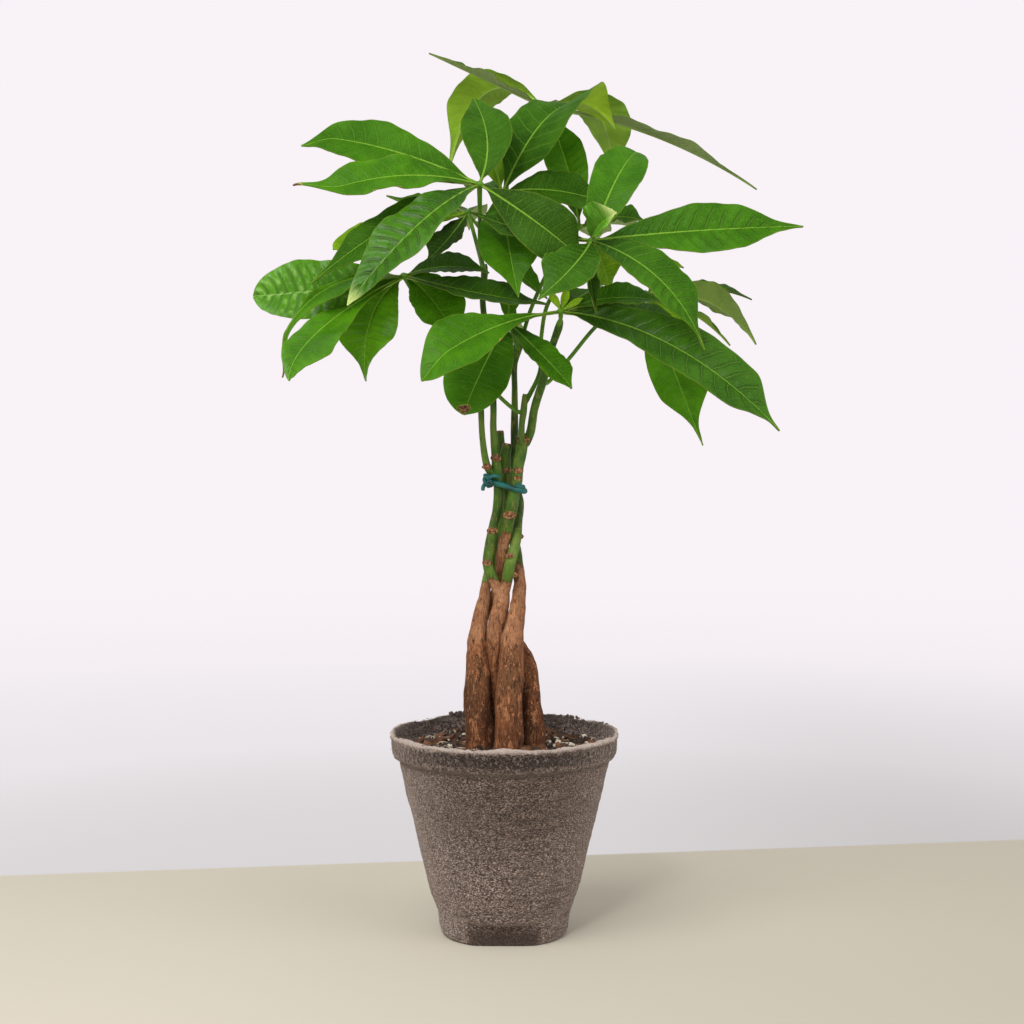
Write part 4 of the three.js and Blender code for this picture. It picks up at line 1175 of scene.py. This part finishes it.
def make_tie(material):
    """The wire's round, a short second turn over it, and the strands of its knot"""
    loops = [tie_loop(TIE_HEIGHT, TIE_SLACK, 215, 358), tie_loop(TIE_HEIGHT + 2, TIE_SLACK + 0.1, 262, 62)]
    strands = [tube(points, 12, 0.8) for points in loops]
    strands += [tube(points, 10, 0.6) for points in TIE_KNOT]
    return finished("tie_wire", strands, material)


# Leaves

def half_width(leaflet, t):
    inner = np.clip(t, 0, 1) ** (math.log(0.5) / math.log(leaflet["peak"]))
    body = np.maximum(np.sin(math.pi * inner), 0) ** leaflet["power"]
    base = 0.4 + 0.6 * smoothstep(0, 0.16, t)
    tip = 1 - leaflet["drip"] * smoothstep(*leaflet["drip_at"], t)
    least = np.where(t < 0.5, BLADE_BASE_WIDTH, BLADE_END_WIDTH) / 2
    return np.maximum(least, leaflet["width"] / 2 * body * base * tip)


def midrib(leaflet, hub, rows):
    """Places along a leaflet's midrib, and the directions across the blade and off its top"""
    middle = np.array(leaflet["mid"], dtype=float)
    start = np.array(hub) + (middle - hub) * ROOT_SHARE
    end = np.array(leaflet["tip"], dtype=float)
    control = 2 * middle - (start + end) / 2
    t = np.linspace(0, 1, rows + 1)[:, None]
    places = start * (1 - t) ** 2 + 2 * control * t * (1 - t) + end * t ** 2
    places = places + np.array(leaflet["hook"]) * smoothstep(0.75, 1, t) ** 2
    along = unit((control - start) * (1 - t) + (end - control) * t)
    half = rows // 2
    upper = carried(along[half:], leaflet["face"])
    lower = carried(along[half::-1], upper[0])[::-1]
    top = np.vstack([lower[:-1], upper])
    across = np.cross(along, top)
    roll = np.radians(leaflet["twist"]) * (t - 0.5)
    turned_top = top * np.cos(roll) + across * np.sin(roll)
    turned_across = across * np.cos(roll) + np.cross(along, across) * np.sin(roll)
    return places, turned_across, turned_top


def quilt_lift(s, phase, depth):
    """How far the blade swells between its side veins"""
    swell = np.abs(np.sin(math.pi * phase)) ** 0.7 - 0.6
    return depth * swell * smoothstep(0.02, 0.18, s) * (1 - smoothstep(0.84, 1, s))


def burn_amount(leaflet, signed, t, reach, length, places):
    """How far each corner of the blade has died: at its tip, and in spots of its own"""
    share = leaflet["burn"]
    ragged = 0.02 * grain(places, 3, seed=12)
    amount = smoothstep(1 - 1.5 * share, 1 - 0.6 * share, t + ragged) if share else np.zeros(len(t))
    for across, along, radius in leaflet["spots"]:
        distance = np.hypot((signed - across) * reach, (t - along) * length)
        amount = np.maximum(amount, 1 - smoothstep(0.65 * radius, radius, distance + 40 * ragged))
    return amount


def make_blade(leaflet, hub, index, materials):
    """One leaflet: a grid bent along its midrib, folded, waved and swollen between its veins"""
    piece, signed, t, row = grid(BLADE_COLUMNS, BLADE_ROWS)
    signed = np.sign(signed) * np.abs(signed) ** 1.25
    centre, across, top = midrib(leaflet, hub, BLADE_ROWS)
    s = np.abs(signed)
    side = np.sign(signed)
    left, right = leaflet["sides"]
    reach = half_width(leaflet, t) * np.where(side < 0, left, right)
    fold = math.radians(leaflet["fold"])
    length = np.linalg.norm(np.diff(centre, axis=0), axis=1).sum()
    uneven = 0.12 * np.sin(9 * t + 2 * index + side)
    phase = VEIN_PAIRS * (t - VEIN_SLANT * s ** 1.3) + uneven + 0.25 * side
    shift = WAVE_SHIFT_PER_LEAFLET * index
    wave_phase = 2 * math.pi * (WAVES_PER_BLADE * t + shift) + WAVE_SHIFT_PER_SIDE * side
    wave = leaflet["wave"] * s ** 2 * np.sin(wave_phase) * np.sin(math.pi * t)
    small = np.minimum(reach / 8, 1)
    frill_phase = 2 * math.pi * FRILLS_PER_BLADE * t + 2.1 * index + side
    frill = 0.35 * small * s ** 4 * np.sin(frill_phase) * np.sin(math.pi * t)
    lift = reach * math.sin(fold) * (s + 0.1 * np.sin(math.pi * s)) + wave + frill + BLADE_EDGE / 2
    lift += quilt_lift(s, phase, leaflet["quilt"] * small)
    places = centre[row] + across[row] * (signed * reach * math.cos(fold))[:, None] + top[row] * lift[:, None]
    places += top[row] * (0.6 * grain(places, 14, seed=index) * s * small)[:, None]
    move_corners(piece, places)
    pale_share = leaflet["pale_tip"]
    painted = {
        "along": t, "rib_mm": s * reach, "edge_mm": (1 - s) * reach, "phase": phase, "tint": leaflet["tint"],
        "under": leaflet["under"], "gloss": leaflet["gloss"], "quilted": min(0.75, 0.5 * leaflet["quilt"]),
        "pale": smoothstep(1 - pale_share, 1, t) if pale_share else 0,
        "burn": burn_amount(leaflet, signed, t, reach, length, places),
    }
    for key, values in painted.items():
        paint(piece, key, values)
    rib = (1 - smoothstep(0.1, 1.1, s * reach)) * (1 - 0.6 * t)
    thickness = piece.vertex_groups.new(name="thickness")
    share = BLADE_EDGE / BLADE_RIB
    for i, weight in enumerate(share + (1 - share) * rib):
        thickness.add([i], float(weight), "REPLACE")
    for material in materials:
        piece.data.materials.append(material)
    apply_modifier(piece, "SOLIDIFY", thickness=BLADE_RIB * MM, offset=-1, vertex_group="thickness",
                   material_offset=1, use_even_offset=False)
    return piece


def make_hub(place):
    """The knob where the leaflets meet, a lumpy ball"""
    deselect()
    bpy.ops.mesh.primitive_ico_sphere_add(subdivisions=3, radius=HUB_RADIUS * MM)
    piece = bpy.context.object
    places = corners(piece)
    move_corners(piece, places * (1 + 0.12 * grain(places, 1.2, seed=13))[:, None] * (1, 1, 0.85) + place)
    return piece


def make_leaf(name, hub, petiole, leaflets, materials):
    """A stalk that is thicker at both ends, its hub and its leaflets"""
    top, under, stalk = materials
    points = [hub, *petiole]
    diameters = [STALK_DIAMETER + 0.7 * (i in (0, len(points) - 1)) for i in range(len(points))]
    parts = [tube([(*p, d) for p, d in zip(points, diameters)], STALK_SIDES, 2, 0.02), make_hub(hub)]
    for part in parts:
        part.data.materials.append(stalk)
    parts += [make_blade(leaflet, hub, i, (top, under)) for i, leaflet in enumerate(leaflets)]
    piece = join(name + "_frond", parts)
    smooth_faces(piece, 80)
    return piece


# Stage, light and camera

def floor_material():
    """A pale table that ends in a slanting line behind the plant, and fades into the glowing wall all round,
    both with painted shade
    """
    material, tree, shader = new_material("pale floor")
    across, depth, _ = axes_of(tree)
    far = depth - across * TABLE_SLANT
    away = node(tree, "VectorMath", {0: object_place(tree)}, "Value", operation="LENGTH")
    past = larger(abs(across) - 0.33, 0)
    soft = past * past * 3 + 0.002
    beyond = larger(mask((far - TABLE_DEPTH) / soft, -1, 1), mask(away, 0.4, 1))
    # Painted shade: the table darker towards the right and the front
    table = blend(mask(across - depth, -0.1, 0.5), rgb(203, 196, 179), rgb(187, 181, 165))
    distance = larger(far, away)
    # The wall glows in its colour, with painted shade where it meets the table
    wall = ramp(mask(distance, 0.2, 2.2), (0, (218, 214, 215)), (0.12, (233, 229, 232)),
                (0.5, (244, 238, 242)), (1, WALL_SHADE))
    # A painted soft shadow on the wall to the right, low down
    corner = mask(across, 0, 0.35) * fall(distance, 0.2, 1.4, 0.9)
    set_inputs(shader, {
        "Base Color": blend(beyond, table, rgb(0, 0, 0)),
        "Roughness": 0.8,
        "Emission Color": blend(beyond, rgb(0, 0, 0), layered(wall, (corner, (230, 230, 229), "MULTIPLY"))),
        "Emission Strength": 1,
        "Specular IOR Level": 0,
    })
    return material


def make_floor():
    deselect()
    bpy.ops.mesh.primitive_plane_add(size=FLOOR_SIZE, location=(0, 0, 0))
    floor = bpy.context.object
    floor.name = "floor"
    floor.data.materials.append(floor_material())
    return floor


def make_world():
    """A room that lights the plant softly, and that the camera sees in the wall's colour"""
    world = bpy.data.worlds.new("pale room")
    bpy.context.scene.world = world
    world.use_nodes = True
    tree = world.node_tree
    tree.nodes.clear()
    seen = node(tree, "Background", {"Color": rgb(*WALL_SHADE)})
    lit = node(tree, "Background", {"Color": rgb(250, 248, 250), "Strength": ROOM_LIGHT})
    by_camera = node(tree, "LightPath", {}, "Is Camera Ray")
    room = node(tree, "MixShader", {0: by_camera, 1: lit, 2: seen})
    set_inputs(tree.nodes.new("ShaderNodeOutputWorld"), {0: room})


def add_light(name, place, target, size, power):
    light = bpy.data.lights.new(name, "AREA")
    light.size = size
    light.energy = power
    lamp = bpy.data.objects.new(name, light)
    bpy.context.collection.objects.link(lamp)
    lamp.location = place
    lamp.rotation_euler = (Vector(target) - Vector(place)).to_track_quat("-Z", "Y").to_euler()


def make_camera():
    camera = bpy.data.cameras.new("camera")
    camera.lens = CAMERA_LENS
    camera.sensor_width = CAMERA_SENSOR
    view = bpy.data.objects.new("camera", camera)
    bpy.context.collection.objects.link(view)
    view.location = Vector(CAMERA_PLACE) * MM
    view.rotation_euler = (math.radians(90 - CAMERA_PITCH), 0, 0)
    bpy.context.scene.camera = view


# The whole plant

def put(piece, slot, *replaced):
    """Lets a piece ride on the plant's one body and hides the solid that it stands for. Its finish's slot is
    not used.
    """
    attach(piece, "root")
    if replaced:
        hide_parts(*replaced)


make_camera()
stem_look = stem_material()
stalk_look = plain_material("leaf stalk", (64, 108, 12), (94, 140, 26), 0.45, scales=(90, 1400),
                            relief=(0.15, 0.0001), specular=0.25)
leaf_looks = (leaf_top_material(), leaf_under_material(), stalk_look)

put(make_pot(fibre_material()), "fibre", "pot")
put(make_soil(plain_material("damp soil", (38, 26, 19), (70, 50, 36), 0.95)), "soil", "soil")
chance = random.Random(SCATTER_SEED)
for name, (bit, count, ring, sizes, sink, dark, light, dullness) in SOIL_BITS.items():
    look = plain_material(name.replace("_", " "), dark, light, dullness)
    put(scattered(name, bit, count, ring, sizes, sink, chance, look), "soil")
put(root_threads(chance, plain_material("pale roots", (150, 128, 104), (208, 192, 168), 0.8)), "soil")
put(rim_crumbs(chance, plain_material("fibre crumbs", (44, 34, 30), (104, 86, 78), 0.95)), "soil")
put(rim_threads(chance, plain_material("loose fibres", (84, 68, 61), (186, 168, 156), 0.95)), "fibre")
put(make_tie(plain_material("teal coated wire", (0, 66, 62), (2, 104, 97), 0.45)), "tie", "tie")
put(finished("leaf_scars", [make_scar(i, *scar) for i, scar in enumerate(SCARS)], stem_look), "stem")

for name, (trunk, *shoots) in STEMS.items():
    put(make_stem(name, trunk, shoots, stem_look), "stem", name)

for name, (hub, petiole, *leaflets) in LEAVES.items():
    put(make_leaf(name, hub, petiole, leaflets, leaf_looks), "leaf", name)

make_floor()
make_world()
for name, light in LIGHTS.items():
    add_light(name, *light)
bpy.context.scene.view_settings.view_transform = "Standard"
